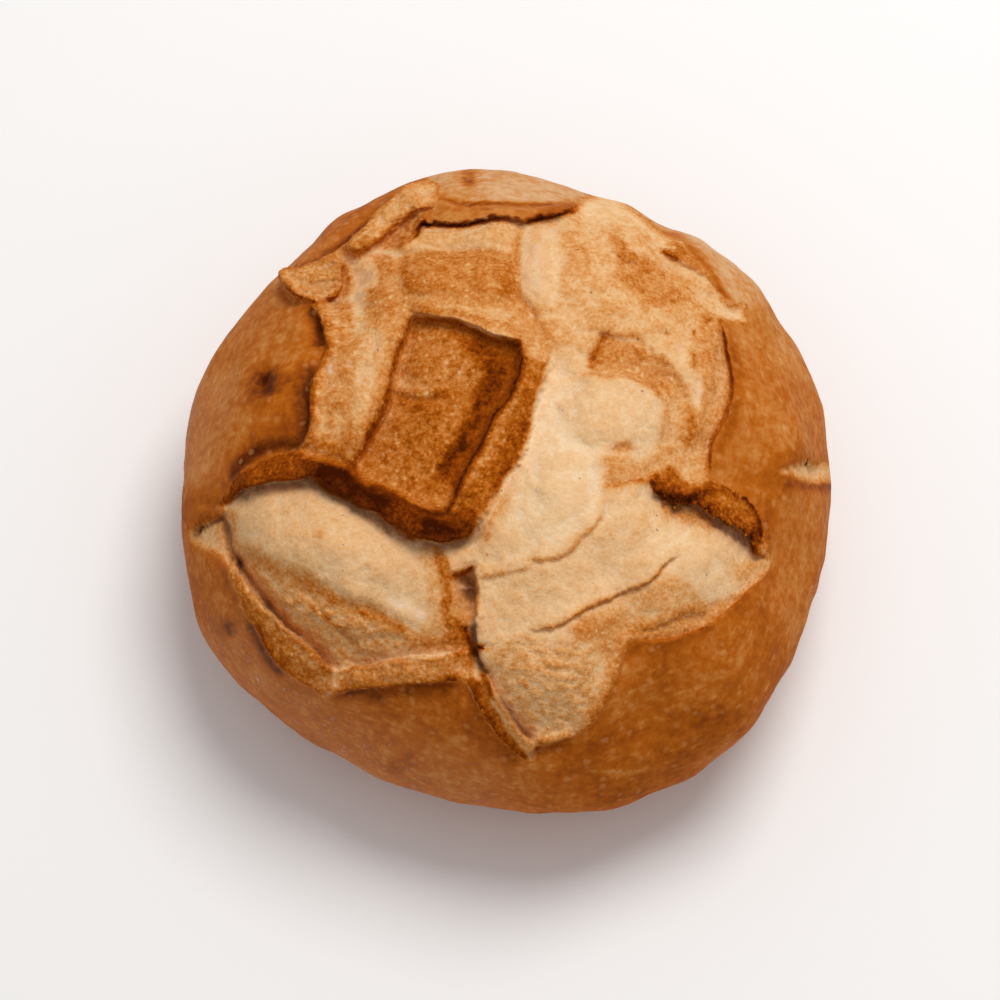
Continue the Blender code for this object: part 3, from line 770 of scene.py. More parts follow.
# %% Pushing them out
pull = smoothstep(*TURNS_TO_EYE, facing)[:, None]
push = normal * (1.0 - pull) + TOWARDS_EYE * pull
push /= np.linalg.norm(push, axis=1)[:, None]
push /= np.maximum((push * normal).sum(axis=1), STEEPEST_PUSH)[:, None]
waves = (waves_at(plain) + pucker) * smoothstep(0.0, FOOT_FADE, plain[:, 2])
surface = plain + push * (height * seen)[:, None] + normal * waves[:, None]
surface += (lean[:, :1] * PICTURE_RIGHT + lean[:, 1:] * PICTURE_UP) * seen[:, None]
surface[:, 2] = np.maximum(surface[:, 2], 0.0)
print("the surface is", round(float(surface[:, 2].max()), 1), "mm high")

# %% [markdown]
# ## Keeping the model's size
#
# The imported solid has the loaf's size, and the fine surface must stay inside its box. The solid
# is centred on its box, so this surface is centred too, and scaled by the small remainder.

# %% Fitting the box
BOX_MARGIN = 0.1

low, high = surface.min(axis=0), surface.max(axis=0)
centre = np.array(((low[0] + high[0]) / 2.0, (low[1] + high[1]) / 2.0, 0.0))
room = (np.array(CAD_HIGH) - np.array(CAD_LOW)) / MM
fit = np.minimum(1.0, (room - BOX_MARGIN) / (high - low))
surface = (surface - centre) * fit
print("fitted by", np.round(fit, 4), "about", np.round(centre, 2))

# %% [markdown]
# ## Painting by baking
#
# The oven paints a loaf: thin raised edges burn and hollows stay pale. On top of that, shade and
# the greyish sheen of the flanks are painted. Areas and strokes say where. Each coat covers what
# lies under it: `heat` on torn crumb, from raw at 0 to charred at 1; `bake`, the same for the whole
# skin; `shade`, painted shade in cracks, under lips and on slopes turned from the lamp; and
# `flour`, which on the skin of the flanks also paints their sheen.

# %% Areas: channel, value, soft edge, outline
AREAS = (
    # the great tear, its brightest mass, the bulge, the middle, the right end
    ("heat", 0.17, 4.0, ((14, 40), (8, 20), (0, 4), (-6, -8), (-10, -20), (-10, -45), (-4, -58),
                         (8, -78), (22, -75), (32, -60), (38, -44), (60, -39), (82, -23), (76, -8),
                         (62, -2), (50, 0), (44, 30), (28, 38))),
    ("heat", 0.09, 6.0, ((9, 30), (14, 36), (20, 30), (26, 12), (28, 0), (24, -12), (12, -16), (2, -8),
                         (4, 4), (7, 18))),
    ("heat", 0.15, 4.0, ((18, 34), (30, 35.5), (42, 33), (49, 27), (46, 16), (36, 10), (26, 12),
                         (20, 22))),
    ("heat", 0.21, 6.0, ((-9, -18), (12, -20), (30, -8), (44, -10), (50, -22), (40, -28), (20, -37),
                         (4, -42), (-9, -40))),
    ("heat", 0.15, 5.0, ((46, -8), (62, -10), (78, -20), (74, -28), (60, -33), (44, -26))),
    ("heat", 0.34, 4.0, ((24, -36), (34, -32), (46, -26), (54, -28), (60, -34), (50, -38), (42, -40),
                         (30, -38))),
    # the front tip, browner: toasting and painted shade
    ("heat", 0.35, 7.0, ((-6, -46), (8, -45), (20, -44), (30, -50), (33, -56), (28, -68), (20, -76),
                         (9, -78), (0, -68))),
    ("heat", 0.51, 3.6, ((20, -38), (30, -38), (40, -38), (50, -37), (58, -33), (66, -32), (72, -32),
                         (62, -40), (50, -44), (38, -45), (36, -52), (31, -63), (26, -71), (24, -66),
                         (28, -56), (27, -48), (22, -44))),
    # the mass at the upper right, its toasted patches and its pale lump
    ("heat", 0.33, 5.0, ((5, 82), (20, 86), (36, 84), (54, 76), (66, 62), (60, 46), (48, 44), (34, 50),
                         (20, 44), (8, 54), (4, 68))),
    ("heat", 0.55, 3.0, ((31.5, 79), (35, 79), (37, 75), (40, 71), (36, 71), (32.5, 74))),
    ("heat", 0.53, 5.0, ((34, 74), (44, 72), (54, 66), (60, 58), (50, 58), (40, 62), (34, 66))),
    ("heat", 0.35, 4.0, ((16, 80), (24, 80), (26, 72), (20, 64), (16, 64))),
    ("heat", 0.22, 3.0, ((5.5, 82), (15, 81), (16.5, 72), (14, 60), (9, 57), (5, 62), (4.5, 72))),
    ("heat", 0.62, 2.4, ((49, 77), (55, 77), (60, 71.5), (66, 64), (62, 66.5), (56, 71), (51, 74.5))),
    # the lens
    ("heat", 0.20, 4.0, ((-88, -5), (-80, 0), (-60, 4), (-46, -3), (-30, -13), (-22, -20), (-20, -34),
                         (-24, -44), (-50, -52), (-70, -40), (-84, -24))),
    ("heat", 0.40, 5.0, ((-84, -17), (-72, -20), (-60, -25), (-50, -30), (-40, -35), (-32, -40),
                         (-24, -44), (-30, -50), (-52, -54), (-64, -45), (-76, -34))),
    ("heat", 0.33, 3.0, ((-26, -18), (-19, -22), (-18, -40), (-21, -46), (-27, -44), (-25, -30))),
    # the left strip, its paler ridge and its slope
    ("heat", 0.48, 3.0, ((-59, 59), (-49, 61), (-33, 58), (-36, 46), (-40, 33), (-45, 20), (-50, 10),
                         (-64, 12), (-61, 28), (-57, 42))),
    ("heat", 0.31, 3.5, ((-46, 55), (-38.5, 51), (-38.5, 38), (-43.5, 24), (-49, 22), (-47, 38), (-46, 48))),
    # its slope into the well, browner: painted shade
    ("heat", 0.47, 2.5, ((-33, 57), (-29.5, 55), (-33, 46), (-36, 36), (-39, 27), (-43, 18),
                         (-48.5, 9), (-51, 11), (-46, 21), (-42, 31), (-38.5, 41), (-36, 50))),
    # the band behind the well, the lip under it, and the pale roll over it
    ("heat", 0.53, 2.0, ((-35, 72), (-30, 74.8), (-16, 75), (3, 75), (3.4, 58.5), (-8, 57), (-26, 56.4),
                         (-32, 58))),
    ("heat", 0.38, 1.6, ((-28, 56.6), (-10, 56.6), (3, 57.6), (8, 54), (16, 45), (8, 45.5), (-4, 49.5),
                         (-16, 53))),
    ("heat", 0.31, 2.0, ((-38, 73), (-32, 77), (-25, 83), (-16, 83), (0, 84), (3.5, 84), (3, 76),
                         (-12, 76.3), (-28, 75.8))),
    # the rolled edge at the top left
    ("heat", 0.57, 2.5, ((-41, 78.5), (-36, 83), (-29, 86.5), (-23.5, 88), (-26, 84.5), (-29.5, 80),
                         (-33, 76.5), (-38, 76))),
    ("heat", 0.44, 2.0, ((-67, 62), (-66, 66), (-60, 67.5), (-51, 73), (-50.5, 66), (-53, 61),
                         (-60, 59))),
    ("heat", 0.38, 2.0, ((-46, 79), (-43, 88), (-34, 97), (-22, 99), (-20, 92), (-25, 89.2), (-32, 86.6),
                         (-39, 81.5), (-43, 77.5))),
    ("heat", 0.55, 2.0, ((-56, 69.5), (-49, 76), (-44, 83), (-43.5, 79), (-44.5, 74.5), (-49, 72.5))),
    ("heat", 0.50, 2.0, ((-46, 74), (-36, 74), (-32, 66), (-31, 58), (-36, 56), (-44, 60), (-50, 62),
                         (-50, 70))),
    ("heat", 0.28, 1.6, ((-49, 71), (-42, 74), (-40.5, 66), (-43, 59), (-45.5, 50), (-47.5, 56),
                         (-49.5, 63))),
    # the island of skin in the well
    ("heat", 0.66, 1.6, ISLAND),
    ("heat", 0.58, 4.0, ((-31, 48), (-24, 50), (-12, 44), (-10, 34), (-22, 31.5), (-33, 33))),
    ("heat", 0.63, 5.0, ((-38, 27), (-24, 28), (-14, 24), (-18, 10), (-26, 5), (-38, 8), (-42, 16))),
    # the island's right margin, darkest: browning and painted shade on the shadowed wall of the well
    ("heat", 0.85, 4.0, ((7, 46), (-3, 43), (-10, 34), (-15, 20), (-21, 7), (-26, -1), (-17, -8), (-11, 4),
                         (-5, 17), (1, 27), (6, 36))),
    ("heat", 0.67, 4.0, ((-40, -1), (-24, -7), (-17, -4), (-22, 6), (-36, 4), (-46, 10))),
    # the right rim of the well
    ("heat", 0.67, 1.8, ((5, 46), (12, 45), (13, 39.5), (10.5, 33), (8.5, 26), (7, 18), (3, 10),
                         (-2, 3), (-6, -5), (-10, -10), (-15, -10), (-17.5, -4), (-13.5, 5),
                         (-8.5, 15), (-2.5, 26.5), (2, 32), (4.5, 40))),
    ("heat", 0.42, 2.0, ((5, 47), (13, 46.5), (12.5, 41.5), (5.5, 42))),
    # the brown dip over the bulge, the bulge's right side, the right strip
    ("heat", 0.54, 3.0, ((25.5, 39.5), (29.8, 50), (33, 47.5), (40, 47), (44, 43), (50, 38), (55, 32),
                         (58, 25), (53, 24), (48, 29.5), (42, 33.5), (34, 36.5))),
    ("heat", 0.40, 4.0, ((48, 30), (57, 30), (58, 16), (55, 6), (46, 6), (47, 16))),
    ("heat", 0.44, 2.4, ((60.5, 56), (66, 54.5), (68.5, 47), (69.5, 37), (69, 29), (66, 21),
                         (63.5, 12), (63, 5), (56, 6), (58, 18), (60.5, 28), (58.5, 38), (57.5, 47))),
    ("heat", 0.43, 5.0, ((30, 11), (44, 11), (50, 9), (50, 4), (38, 4), (30, 4))),
    # the two front lips, the band and the strip at the front tip
    ("heat", 0.53, 1.6, ((-53, -55.5), (-44, -53.5), (-34, -52.3), (-22, -50.5), (-12, -49.5),
                         (-10, -56.5), (-20, -57.5), (-36, -59.3), (-50, -60.5))),
    ("heat", 0.60, 1.6, ((-86, -19), (-81, -27), (-76, -35), (-70, -40.5), (-62, -46.5),
                         (-54, -54.5), (-57, -63), (-66, -57), (-73, -50.5), (-79.5, -40), (-84, -30))),
    ("heat", 0.77, 2.0, ((-12.5, -57), (-7, -57), (-4, -66), (1, -73), (6, -79), (6, -83), (0, -78.5),
                         (-5, -72.5), (-9, -66))),
    ("heat", 0.42, 1.3, ((-5, -60), (-2, -64), (2, -70.5), (8, -76.5), (9, -82), (6, -80), (1, -73.5),
                         (-3, -67))),
    # the wall and the pit of the middle crack
    ("heat", 0.60, 2.0, ((-23, -17), (-18, -20), (-16.5, -28), (-16, -36), (-12, -44), (-10, -54),
                         (-15, -52), (-19, -42), (-20, -32), (-21, -25))),
    ("heat", 0.40, 1.2, ((-17, -25), (-10, -23.5), (-9.5, -36), (-12, -40), (-16, -36))),
    # the burnt lip
    ("heat", 0.76, 1.6, ((-90, -6), (-88, 3), (-81, 10.5), (-72, 14), (-64, 15), (-60, 12), (-60, 5),
                         (-68, 3.6), (-76, 2.6), (-83, 0.2), (-87.4, -4.4))),
    ("heat", 0.83, 2.2, ((-63, 11.5), (-55, 12), (-48, 9.8), (-44, 4.7), (-37, 1.4), (-30, -2.8),
                         (-24, -5.6), (-19, -6.3), (-13, -5), (-9, -9), (-14, -13.8), (-20, -15.5),
                         (-28, -14), (-36, -10.4), (-44, -5.6), (-52, 0), (-60, 4.8))),
    # the ragged lip of the right plate
    ("heat", 0.77, 2.2, ((44, 5), (47, 7), (51, 8.5), (55, 6), (61, 5), (67, 5.5), (70, 2), (74, -2),
                         (77, -8), (79, -15), (80.5, -20), (78, -18.5), (75, -13), (71.5, -9.5),
                         (66, -7.5), (61, -5.5), (58, -3), (50, -3), (46, 0.5))),
    ("heat", 0.72, 2.0, ((66, 3), (71, 0), (75, -4), (76.5, -9), (73, -9.5), (68, -7), (64, -3))),
    # splits low on the flanks: their crumb browned partly as painted shade, and their lips
    ("heat", 0.36, 1.5, ((-103, -6), (-86, -5), (-84, -12), (-84, -24), (-103, -22))),
    ("heat", 0.33, 1.2, ((80, 12), (110, 12), (110, 2), (80, 4))),
    ("bake", 0.62, 2.4, ((-100, -1), (-91, -1.5), (-88.5, -6), (-93, -8), (-100, -9))),
    ("bake", 0.60, 2.0, ((84, 4), (98, 3), (107, 3), (107, 0), (92, 0.5))),
    ("bake", 0.58, 2.2, ((83, 9), (92, 12), (101, 12.5), (101, 15), (90, 14.5))),
    # the skin: the back plate and its lip, the right, the left, the front
    ("bake", 0.22, 4.0, ((-20, 92), (0, 90), (22, 91), (40, 86), (60, 78), (76, 62), (92, 50), (88, 80),
                         (50, 106), (10, 112), (-22, 110), (-24, 98))),
    ("bake", 0.39, 1.2, ((-22, 90.4), (0, 89.9), (12, 89.9), (22, 91.4), (20, 87.4), (14, 85.4),
                         (0, 84.9), (-14, 83.9), (-25, 84.3))),
    ("bake", 0.60, 2.4, ((7, 84.5), (13, 89), (20, 89.5), (22, 88), (17, 86))),
    ("bake", 0.21, 7.0, ((66, 60), (78, 54), (96, 54), (96, 72), (74, 90), (56, 82), (60, 72))),
    ("bake", 0.43, 7.0, ((67, 52), (92, 52), (108, 30), (108, 12), (84, 12), (66, 4), (70, 30))),
    ("bake", 0.43, 9.0, ((-62, 56), (-57, 46), (-61, 30), (-65, 13), (-84, 8), (-106, 8), (-106, 30),
                         (-90, 50), (-78, 58))),
    ("bake", 0.46, 8.0, ((-90, 56), (-72, 72), (-56, 76), (-66, 60), (-60, 48), (-72, 44))),
    ("bake", 0.53, 8.0, ((38, -46), (60, -43), (80, -30), (80, -44), (62, -58), (40, -62))),
    ("bake", 0.51, 9.0, ((30, -66), (60, -62), (84, -44), (80, -60), (50, -90), (10, -104), (-10, -100),
                         (6, -86))),
    ("bake", 0.59, 7.0, ((18, -80), (40, -72), (62, -66), (70, -70), (52, -88), (28, -96))),
    ("bake", 0.44, 8.0, ((84, -2), (106, -2), (104, -24), (92, -46), (82, -36))),
    ("bake", 0.36, 6.0, ((74, 58), (92, 58), (98, 46), (86, 42), (72, 46))),
)

# %% [markdown]
# A stroke is a line with a half width. Strokes draw what is narrow: scorched edges, streaks where
# the dough was stretched, and painted shade in a crack or under a lip.

# %% Strokes: channel, value, half width, points
STROKES = (
    # the burnt lip: the darkest places, and behind it a dark line and a soft darkening, painted shade
    # in the valley where it leaves the skin
    ("heat", 1.00, 3.0, ((-59, 8), (-53, 7), (-48, 6))),
    ("heat", 0.96, 2.4, ((-50, 3.5), (-43, 0), (-36, -4))),
    ("heat", 1.00, 2.8, ((-27, -9), (-20, -10.5), (-14, -9.5))),
    ("heat", 0.98, 1.0, ((-44, 4), (-38, 1), (-31, -3), (-25, -6), (-20, -6.5), (-17, -3))),
    ("bake", 0.60, 5.0, ((-82, 12), (-72, 17), (-66, 22))),
    ("bake", 0.94, 2.6, ((-87, 3.6), (-81, 10.5), (-73, 14.4), (-65, 15.4), (-62, 18))),
    # around the well: browned edges, and painted shade on its shadowed walls and in its grooves
    ("heat", 0.88, 1.3, ((4.6, 44.5), (4, 39), (1, 32), (-3, 26.5), (-7, 20), (-11, 12.5), (-15, 4),
                         (-17.5, -3))),
    ("heat", 0.55, 0.8, ((7, 42), (5.5, 35), (2, 28.5), (-3, 20), (-8, 11), (-12.5, 1))),
    ("heat", 0.82, 1.1, ((4, 44.5), (-4, 46.5), (-10, 49), (-18, 52), (-29, 54.6))),
    ("heat", 0.84, 3.2, ((4, 37), (1.5, 41.5), (-5, 44), (-13, 47))),
    ("heat", 0.72, 2.2, ((-28.5, 54), (-30, 48))),
    ("heat", 0.74, 1.0, ((-31.5, 50), (-35, 40), (-37.5, 30), (-41, 21.5), (-45, 14), (-48, 9))),
    ("heat", 0.84, 1.4, ((-41, 22), (-44, 16))),
    ("heat", 0.46, 2.4, ((-35, 35), (-29, 33), (-23, 33))),
    ("heat", 0.72, 1.2, ((-38, 31.4), (-32, 30.2), (-26, 29), (-20, 29))),
    ("heat", 0.69, 2.4, ((-36, 2.4), (-28, 2), (-21, 1.4))),
    ("heat", 0.70, 1.2, ((-36, 2), (-28, -1.5), (-21, -4))),
    ("heat", 0.80, 1.6, ((6, 24), (3, 16), (-1, 9), (-5, 1))),
    # the left strip
    ("heat", 0.66, 1.3, ((-58, 57), (-56.3, 50), (-55.6, 45), (-57, 41), (-59, 36), (-60, 29),
                         (-60.5, 22), (-63, 15))),
    ("heat", 0.64, 3.6, ((-63, 15), (-56, 13.5), (-49, 12.5))),
    # the dark band on the skin beside the strip's left edge: browning and painted shade where the skin dips
    # under the strip
    ("bake", 0.92, 1.8, ((-60, 58), (-58, 50), (-57.6, 44))),
    ("bake", 0.72, 4.0, ((-60.5, 41), (-62, 31), (-64, 22), (-68, 16))),
    ("bake", 0.92, 1.7, ((-59.4, 39), (-61, 31), (-62, 22), (-64.6, 14))),
    ("heat", 0.55, 1.6, ((-42, 65), (-42, 58), (-40, 52))),
    # the band behind the well
    ("heat", 0.64, 1.1, ((-35, 70), (-30, 74.5), (-20, 75), (-10, 75), (2, 74.6))),
    ("heat", 0.62, 2.2, ((-34, 71), (-31, 67), (-31, 60))),
    ("heat", 0.60, 2.6, ((-1, 72), (0, 66), (-1, 60))),
    ("heat", 0.56, 0.8, ((-30, 57.2), (-16, 55), (-4, 52), (6, 48.5))),
    ("heat", 0.52, 0.7, ((-24, 56.5), (-10, 53.5), (4, 50.5))),
    ("heat", 0.66, 1.2, ((4, 83), (3, 75), (2.6, 65), (4, 60), (7, 55.5), (10, 50.5), (13, 46.5))),
    ("heat", 0.48, 2.4, ((6, 57), (9, 52), (15, 46))),
    # the crack and the lip of the back plate: dark lines that are browning and painted shade in the
    # crack and along the lip
    ("heat", 0.95, 0.75, ((-30.5, 79), (-28, 81.5), (-26.5, 83.8), (-23, 84.3), (-19, 84),
                          (-14, 83.9), (-10, 84.2), (-5, 84.8), (-0.5, 84.6))),
    ("heat", 0.95, 0.8, ((4.6, 83.4), (8, 84.4), (13, 85.2), (18, 86.6), (22, 88.2))),
    ("bake", 0.78, 0.6, ((-22, 90.6), (-12, 90), (0, 89.8), (12, 89.6), (18, 90.2))),
    ("bake", 0.56, 0.5, ((-20, 88.2), (-12, 88), (-4, 87.6))),
    ("bake", 0.66, 2.6, ((-14, 97.2), (-10, 97))),
    # the roll's edges: dark lines that are browning and painted shade under the roll and beside its
    # outer edge
    ("heat", 0.64, 1.6, ((-50.5, 71), (-49.5, 66), (-51.5, 61))),
    ("heat", 0.78, 0.9, ((-67, 61.5), (-63, 59), (-59, 58.4), (-55, 60), (-51.8, 62.5))),
    ("bake", 0.80, 1.0, ((-67.5, 65.5), (-62, 68.6), (-57, 71.3))),
    ("heat", 0.50, 1.0, ((-60, 65), (-56, 67.5), (-52, 70))),
    ("bake", 0.80, 1.1, ((-57, 71.6), (-52, 76.6), (-47.8, 81.4), (-44.4, 85.2), (-41, 88.4))),
    ("heat", 0.62, 1.2, ((-49, 72), (-44, 77), (-38, 82), (-31, 86.4), (-24, 89))),
    # the upper right mass
    ("heat", 0.70, 0.9, ((47, 76), (50, 74), (53, 72))),
    # the dark insides of two pits: painted shade
    ("heat", 0.85, 0.7, ((49.3, 49.8), (49.7, 48.2))),
    ("heat", 0.88, 0.7, ((58, 50.6), (58.2, 49))),
    ("bake", 0.56, 0.8, ((55.5, 77.5), (57.5, 72.5), (61.5, 69.5), (65.5, 64.5), (70.5, 59.5))),
    ("heat", 0.50, 1.0, ((33, 48.4), (38, 48.6), (42, 46.5))),
    ("heat", 0.40, 3.0, ((52, 50), (56, 54), (60, 60))),
    ("heat", 0.80, 1.3, ((25.8, 40), (27.8, 44.5), (30, 49.3))),
    ("heat", 0.48, 0.8, ((20, 36), (25, 37.2), (31, 36.6), (38, 35.2), (44, 32))),
    ("heat", 0.58, 1.9, ((32, 13.3), (35, 14.3), (39, 14.6))),
    ("heat", 0.60, 1.3, ((29, 3), (34, 2.8), (39, 4), (45, 4.6))),
    ("heat", 0.46, 0.7, ((22, 76), (24.5, 72), (24, 69))),
    # the right strip
    ("heat", 0.82, 0.9, ((66.4, 54), (68, 47), (68.9, 40), (69.2, 34), (68.8, 29), (67, 24), (65, 19),
                         (63.6, 12), (62.8, 5))),
    ("heat", 0.72, 1.6, ((61, 54.5), (64, 53.5))),
    ("heat", 0.62, 1.8, ((58, 44), (58, 38))),
    ("heat", 0.60, 2.0, ((55, 28), (58, 22), (56, 14))),
    # the front left lip: its dark outer side and its paler inner edge
    ("heat", 0.77, 1.8, ((-78.5, -39), (-75.5, -46), (-71.5, -51.4), (-67.5, -55))),
    ("heat", 0.70, 1.2, ((-69, -55), (-63, -59), (-57, -62))),
    ("heat", 0.40, 1.0, ((-86, -19), (-81, -27.5), (-75.5, -36), (-69.5, -41.3), (-62.5, -46.8))),
    ("heat", 0.52, 2.0, ((-64, -48), (-58, -54))),
    # the front lip
    ("heat", 0.84, 0.9, ((-53, -61.5), (-48, -60.5), (-40, -59.8), (-30, -59), (-20, -58))),
    ("heat", 0.80, 2.0, ((-20, -56.5), (-15, -57.5))),
    ("heat", 0.52, 0.8, ((-50, -54), (-40, -53), (-30, -51))),
    # streaks of the lens
    ("heat", 0.56, 2.4, ((-81, -19), (-72, -22.5), (-62, -28), (-52, -33), (-44, -36))),
    # painted shade over the lower half of the lens, which turns away from the lamp
    ("shade", 0.42, 4.5, ((-72, -33), (-62, -38), (-50, -43), (-36, -45))),
    ("heat", 0.58, 1.0, ((-60, -33), (-54, -39.5), (-50, -44), (-46, -48))),
    ("heat", 0.62, 1.3, ((-66, -25), (-56, -30), (-46, -36), (-36, -40))),
    ("heat", 0.56, 3.0, ((-30, -46), (-22, -46), (-15, -45))),
    ("heat", 0.62, 1.8, ((-46, -35), (-38, -38.5), (-30, -42.5))),
    ("heat", 0.36, 1.8, ((-58, -11), (-57, -13.5))),
    # the walls beside the middle crack
    ("heat", 0.82, 1.2, ((-13.5, -40), (-11.5, -46), (-9.5, -51))),
    ("heat", 0.85, 1.0, ((-17, -26), (-13, -24.3), (-10, -22))),
    # the dark of a small hole: painted shade
    ("heat", 0.95, 1.0, ((-9.5, -47), (-7, -47.5))),
    ("heat", 0.40, 2.6, ((-8, -16), (-5, -8), (-1, 0))),
    ("heat", 0.74, 1.4, ((-8, -54), (-5.5, -60), (-7, -66))),
    # folds of the great tear: brown lines that are toasting and painted shade in the creases
    ("heat", 0.56, 0.9, ((8, -42.3), (16, -40), (22, -36.5), (28, -34), (33, -32), (38, -29.7),
                         (43, -27.5), (46, -25), (48, -22), (52, -19.5))),
    ("heat", 0.48, 0.8, ((5, -20), (10, -20.3), (18, -19), (21, -16), (23.5, -13), (27, -10), (29, -5))),
    ("heat", 0.44, 0.8, ((-9, -25.5), (-3, -25), (3, -24), (8, -22))),
    ("heat", 0.62, 0.9, ((38, -43), (42, -42), (46, -41.3), (50, -39.2), (56, -37.6))),
    ("heat", 0.70, 0.9, ((76, -28.5), (70, -34), (62, -40), (54, -43.7), (46, -45), (39, -45.7))),
    ("heat", 0.60, 1.6, ((37, -47), (35, -54), (31, -62), (26.5, -70))),
    ("heat", 0.36, 5.0, ((70, -28), (76, -24), (80, -20))),
    # the ragged lip
    ("heat", 0.93, 1.3, ((50, 0.6), (56, -0.6), (62, 1))),
    ("heat", 0.92, 0.9, ((68, 3), (72, 0.5), (75.5, -3), (77.7, -8), (79.3, -15))),
    # a soft brown painted shadow under the lip
    ("heat", 0.50, 3.0, ((46, -4), (54, -6), (60, -7.5), (66, -10))),
    ("heat", 0.44, 0.5, ((70.5, -8.4), (73, -10.6), (75.8, -12.6))),
    ("heat", 0.42, 0.5, ((72, -10.5), (74.4, -13), (77, -14.6))),
    # painted shade: under the lips, in cracks and holes, and on slopes turned away from the lamp
    ("shade", 0.45, 2.4, ((-88, -8), (-84, -3), (-78, 0), (-68, 1.5), (-60, 3), (-54, 0), (-46, -5),
                          (-38, -10.5), (-30, -14.5))),
    ("shade", 0.45, 1.6, ((-28, -15), (-20, -17), (-12, -15), (-6, -9.5))),
    ("shade", 0.90, 2.0, ((-15, -26), (-12, -29), (-12.5, -34))),
    ("shade", 0.90, 1.0, ((-10.5, -40), (-10, -46), (-8.5, -51), (-5, -56))),
    ("shade", 0.35, 3.0, ((46, -4), (54, -6), (62, -9.5), (70, -13), (76, -18))),
    ("shade", 0.60, 1.2, ((-3.5, -61), (0, -67), (4, -72.5), (8, -76))),
    ("shade", 0.70, 1.2, ((9, -78), (14, -77), (20, -76))),
    ("shade", 0.80, 1.2, ((-87, -16), (-83.5, -20.5), (-79.5, -26), (-76, -31), (-72.5, -36), (-67, -40.5),
                          (-61, -45))),
    ("shade", 0.30, 4.0, ((-84, -7), (-82, -15), (-76, -21))),
    ("shade", 0.16, 9.0, ((-78, -6), (-60, -8), (-44, -14))),
    ("shade", 0.35, 3.0, ((-43, 62), (-43.5, 57))),
    ("shade", 0.20, 5.0, ((-62, 63), (-54, 66), (-42, 79))),
    ("shade", 0.24, 6.0, ((-66, -36), (-56, -42), (-44, -47), (-34, -48))),
    ("shade", 0.80, 0.7, ((-97, -14), (-95, -11), (-91, -8.6), (-87, -6.6))),
    ("shade", 0.70, 1.5, ((-88, -6), (-87.2, -12), (-85.8, -18), (-82.5, -24))),
    ("shade", 0.80, 0.6, ((82.5, 6.6), (86, 8), (91, 9.4), (95, 9), (97, 7.4))),
    # flour that was never baked in
    ("flour", 0.52, 2.6, ((-38, -32), (-31, -35), (-24, -39))),
    ("flour", 0.40, 4.0, ((10, 79), (9, 68), (10, 60))),
    ("flour", 0.30, 2.0, ((-46, 70), (-46, 60), (-46, 54))),
    # a grey tone along the pale streak: painted shade in its groove
    ("shade", 0.32, 3.0, ((-45, 71), (-45.5, 63), (-45.5, 56))),
    ("flour", 0.50, 1.8, ((60, 33), (59.5, 28))),
    ("flour", 0.60, 1.1, ((-55.3, 40), (-54.6, 36.5))),
    ("flour", 0.40, 0.6, ((-54.6, 36.5), (-54, 29))),
    ("flour", 0.42, 0.55, ((-86, -2.6), (-83, 0.6), (-79, 2.2), (-74, 2.5), (-70, 3.4), (-65, 3.6),
                           (-60.5, 5.2))),
    ("flour", 0.45, 1.0, ((-57.5, -62.3), (-54.5, -60.8))),
    ("flour", 0.70, 0.6, ((-16, -29), (-13, -29.3), (-10, -29))),
    # on the skin of the front and left flanks, a thin flour veil that also paints their greyish sheen
    ("flour", 0.19, 15.0, ((-92, -30), (-80, -52), (-60, -72), (-40, -86), (-12, -97), (8, -99))),
    ("flour", 0.17, 9.0, ((-99, 0), (-98, 20), (-92, 40))),
    ("flour", 0.08, 9.0, ((-88, 48), (-76, 60), (-56, 80))),
    # marks on the skin
    ("bake", 0.68, 7.0, ((-77, 38), (-74, 28))),
    ("bake", 0.92, 4.0, ((-75, 37), (-73.5, 34), (-74, 30))),
    ("bake", 0.72, 1.2, ((-72, 33), (-66, 34), (-62, 33))),
    ("bake", 0.56, 3.4, ((-98, -4.5), (-91, -5.5))),
    ("bake", 0.84, 2.3, ((-86.5, -39), (-85.5, -44))),
    ("bake", 0.84, 1.4, ((-80.5, -38), (-77.5, -46), (-73.5, -51.6), (-68, -56.8))),
    ("bake", 0.85, 1.0, ((-53, -62.4), (-46, -61.4), (-36, -60.6), (-24, -59.6), (-14, -59))),
    ("bake", 0.60, 2.0, ((-88, -22), (-86, -28), (-83, -35))),
    ("bake", 0.66, 2.2, ((-48, -62.6), (-34, -61.4), (-20, -60.5), (-13, -61))),
    ("bake", 0.62, 3.0, ((-15, -66), (-11, -74), (-4, -81), (4, -84))),
    ("bake", 0.62, 1.2, ((76, -29.5), (68, -36.5), (60, -42.6), (50, -46), (40, -47.5), (37.5, -54))),
    ("bake", 0.60, 1.6, ((68, 52), (69.7, 46), (70.6, 38), (70.6, 29), (68, 20), (65, 9))),
    ("bake", 0.72, 1.3, ((84, 2.6), (92, 2.4), (104, 2.2))),
    ("bake", 0.56, 2.0, ((84, 10), (92, 13))),
    ("bake", 0.58, 2.0, ((81, 0), (81, -8), (82, -16))),
    ("bake", 0.40, 0.7, ((50, -68), (56, -62.5), (62, -57))),
    ("bake", 0.41, 0.7, ((69, -55), (73, -49), (76, -43))),
    ("bake", 0.42, 0.7, ((28, -86.5), (38, -86), (47, -83))),
    ("bake", 0.42, 0.6, ((40, -72), (50, -70))),
    ("bake", 0.64, 1.4, ((15, -87), (20, -86))),
    ("bake", 0.62, 2.4, ((-36, -84), (-28, -81))),
)
print(len(AREAS), "areas and", len(STROKES), "strokes")

# %% [markdown]
# The coats go on in order, each over what lies under it. Between the areas and the strokes, the
# very edge of the torn crumb is toasted all round, because it is thin and stands up.

